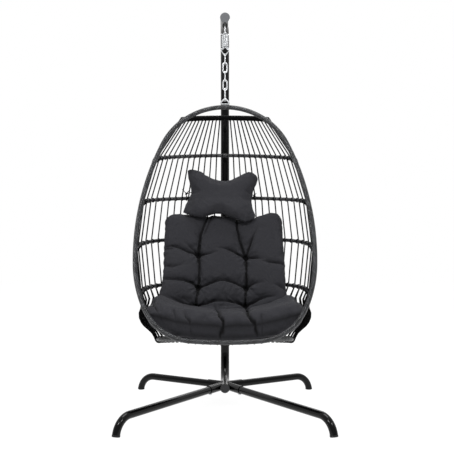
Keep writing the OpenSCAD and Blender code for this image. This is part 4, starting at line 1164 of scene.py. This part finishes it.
class EGGCHAIR_OT_pillow(bpy.types.Operator):
    """Make the head pillow and its ties"""

    bl_idname = "eggchair.pillow"
    bl_label = "Head pillow"

    def execute(self, context):
        cell = sizes().pillow_cell / MM
        a = rounded_steps(0, 1, 0.12, 0.12, int(270 / cell), 5)
        b = rounded_steps(0, 1, 0.16, 0.16, int(150 / cell), 5)
        top, low = self.side(PILLOW_TOP, a), self.side(PILLOW_LOW, a)
        left, right = self.side(PILLOW_LEFT, b), self.side(PILLOW_RIGHT, b)
        u, v = a[:, None, None], b[None, :, None]
        # Its four sides are blended inward, and drawn large for what the seam takes up
        flat = ((1 - v) * low[:, None] + v * top[:, None] + (1 - u) * left[None] + u * right[None]
                - (1 - u) * (1 - v) * low[0] - u * (1 - v) * low[-1] - (1 - u) * v * top[0]
                - u * v * top[-1]) * SEAM_ALLOWANCE
        round_u = np.sqrt(np.clip(1 - np.abs(2 * a - 1) ** 3.2, 0, 1))
        round_v = np.sqrt(np.clip(1 - np.abs(2 * b - 1) ** 2.6, 0, 1))
        filled = PILLOW_FILLING * round_u[:, None, None] * round_v[None, :, None]
        up = np.array([0, math.sin(PILLOW_LEAN), math.cos(PILLOW_LEAN)])
        out = np.array([0, -math.cos(PILLOW_LEAN), math.sin(PILLOW_LEAN)])
        middle = flat[..., :1] * np.array([1.0, 0, 0]) + flat[..., 1:] * up + PILLOW_MID
        # Its ears lean forward off the cords, and its foot lies on the cushion's top
        middle[..., 1] -= 14 * lift(flat[..., 1] / 90) + 16 * lift((-40 - flat[..., 1]) / 70)
        piece = pad_mesh("head_rest_pillow", middle + filled * out, middle - filled * out * 0.9,
                         flat)
        # The back stays most, then the edge
        side = cloth_places(piece.data)[2]
        parts = [side < 0.1, side < 0.6]
        held = np.select(parts, [0.6, 0.35], 0.02)
        cap = np.select(parts, [3.0, 4.0], 11.0)
        puff(piece, held, sizes().swell, 0.05, cap)
        refine(piece)
        x, z, side = cloth_places(piece.data)
        depth = fold_depths(x, z, PILLOW_FOLDS, SEWN_WIDE) * lift((side - 0.5) * 2)
        # Painted shade for the cloth deep in each fold
        painted_fold_shade = lift((depth - 2) / 6) * 0.8
        # Near is 1 at the seam and 0 on the face and back, and a gather comes every 38 mm
        near = 1 - np.abs(side - 0.5) * 2
        depth += np.where(near > 0.95, 2.6, 0)
        round_edge = np.arctan2(z, x) * 150
        depth += 0.9 * np.sin(round_edge / 6.1) * np.where(near > 0.45, near, 0)
        draw_in(piece.data, depth)
        # The folds and the seam are kept as painted shade, which darkens the cloth's colour
        keep_painted_fold_shade(piece.data, np.maximum(painted_fold_shade, 0.6 * lift(near * 4 - 3)))
        finish_piece(piece, "basket", charcoal_polyester(), ["head_pillow"])
        bpy.ops.object.shade_smooth()
        self.tie()
        return {"FINISHED"}

    def side(self, line, shares):
        """Points at shares of the way along one side of the pillow's outline."""
        line = np.array(line, float)
        run = np.concatenate([[0], np.cumsum(np.hypot(*np.diff(line, axis=0).T))])
        at = shares * run[-1]
        return np.column_stack([np.interp(at, run, line[:, 0]), np.interp(at, run, line[:, 1])])

    def tie(self):
        """A tie at each side of the waist, round the head hoop, with its knot and ends."""
        lines = []
        bar = BARS["head_hoop"]
        for across, waist, knot, ends in (
                (-196, (-157, 12), (-184, 3), ((-205, 27), (-170, 20))),
                (154, (149, -2), (160, -10), ((170, 6), (152, -30)))):
            t = min((i / 400 for i in range(401)), key=lambda t: abs(laced_at(bar, t).x - across))
            hold = laced_at(bar, t)
            ahead = UP.cross(bar_run(bar, t))
            ahead *= 1 if ahead.y < 0 else -1
            waist, knot, *ends = [self.on_pillow(p) for p in (waist, knot) + ends]
            ring = arc(hold, ahead, UP, (bar.d + TIE_D) / 2 + 0.6, 20, 340, 14)
            lines.append([waist, waist.lerp(knot, 0.5), knot + UP * 2] + ring + [knot - UP * 2])
            # The knot is a trefoil
            turns = [math.tau * k / 20 for k in range(20)]
            lines.append([knot + Vector((5 * math.cos(a) + 2 * math.cos(2 * a),
                                         3 * math.sin(3 * a),
                                         5 * math.sin(a) - 2 * math.sin(2 * a)))
                          for a in turns])
            lines += [[knot, knot.lerp(end, 0.5) + Vector((0, -2, 1)), end] for end in ends]
        piece = tube("pillow_tie_cords", lines, TIE_D, sides=8)
        finish_piece(piece, "basket", lacing_cord(), ["pillow_ties"])

    def on_pillow(self, place):
        """A place across and up on the pillow, 14 mm behind its middle."""
        return Vector(PILLOW_MID) + Vector((place[0], place[1] * math.sin(PILLOW_LEAN) + 14,
                                            place[1] * math.cos(PILLOW_LEAN)))


OPERATORS = (EGGCHAIR_OT_stage, EGGCHAIR_OT_lacing, EGGCHAIR_OT_wicker,
             EGGCHAIR_OT_hanging_train, EGGCHAIR_OT_stand, EGGCHAIR_OT_cushion,
             EGGCHAIR_OT_pillow)


class EGGCHAIR_PT_panel(bpy.types.Panel):
    """Sizes, colours and the steps that make the chair"""

    bl_idname = "EGGCHAIR_PT_panel"
    bl_label = "Hanging egg chair"
    bl_space_type = "VIEW_3D"
    bl_region_type = "UI"
    bl_category = "Egg Chair"

    def draw(self, context):
        for group in (context.scene.egg_chair_sizes, context.scene.egg_chair_colours):
            box = self.layout.box()
            for name in group.bl_rna.properties.keys():
                if name not in ("rna_type", "name"):
                    box.prop(group, name)
        for operator in OPERATORS:
            self.layout.operator(operator.bl_idname)


CLASSES = (EggChairSizes, EggChairColours) + OPERATORS + (EGGCHAIR_PT_panel,)


def register():
    for cls in CLASSES:
        bpy.utils.register_class(cls)
    bpy.types.Scene.egg_chair_sizes = bpy.props.PointerProperty(type=EggChairSizes)
    bpy.types.Scene.egg_chair_colours = bpy.props.PointerProperty(type=EggChairColours)


def unregister():
    del bpy.types.Scene.egg_chair_sizes
    del bpy.types.Scene.egg_chair_colours
    for cls in reversed(CLASSES):
        bpy.utils.unregister_class(cls)


def main():
    register()
    bpy.ops.eggchair.stage()
    bpy.ops.eggchair.lacing()
    bpy.ops.eggchair.wicker()
    bpy.ops.eggchair.hanging_train()
    bpy.ops.eggchair.stand()
    bpy.ops.eggchair.cushion()
    bpy.ops.eggchair.pillow()
    deselect()


if __name__ == "__main__":
    main()
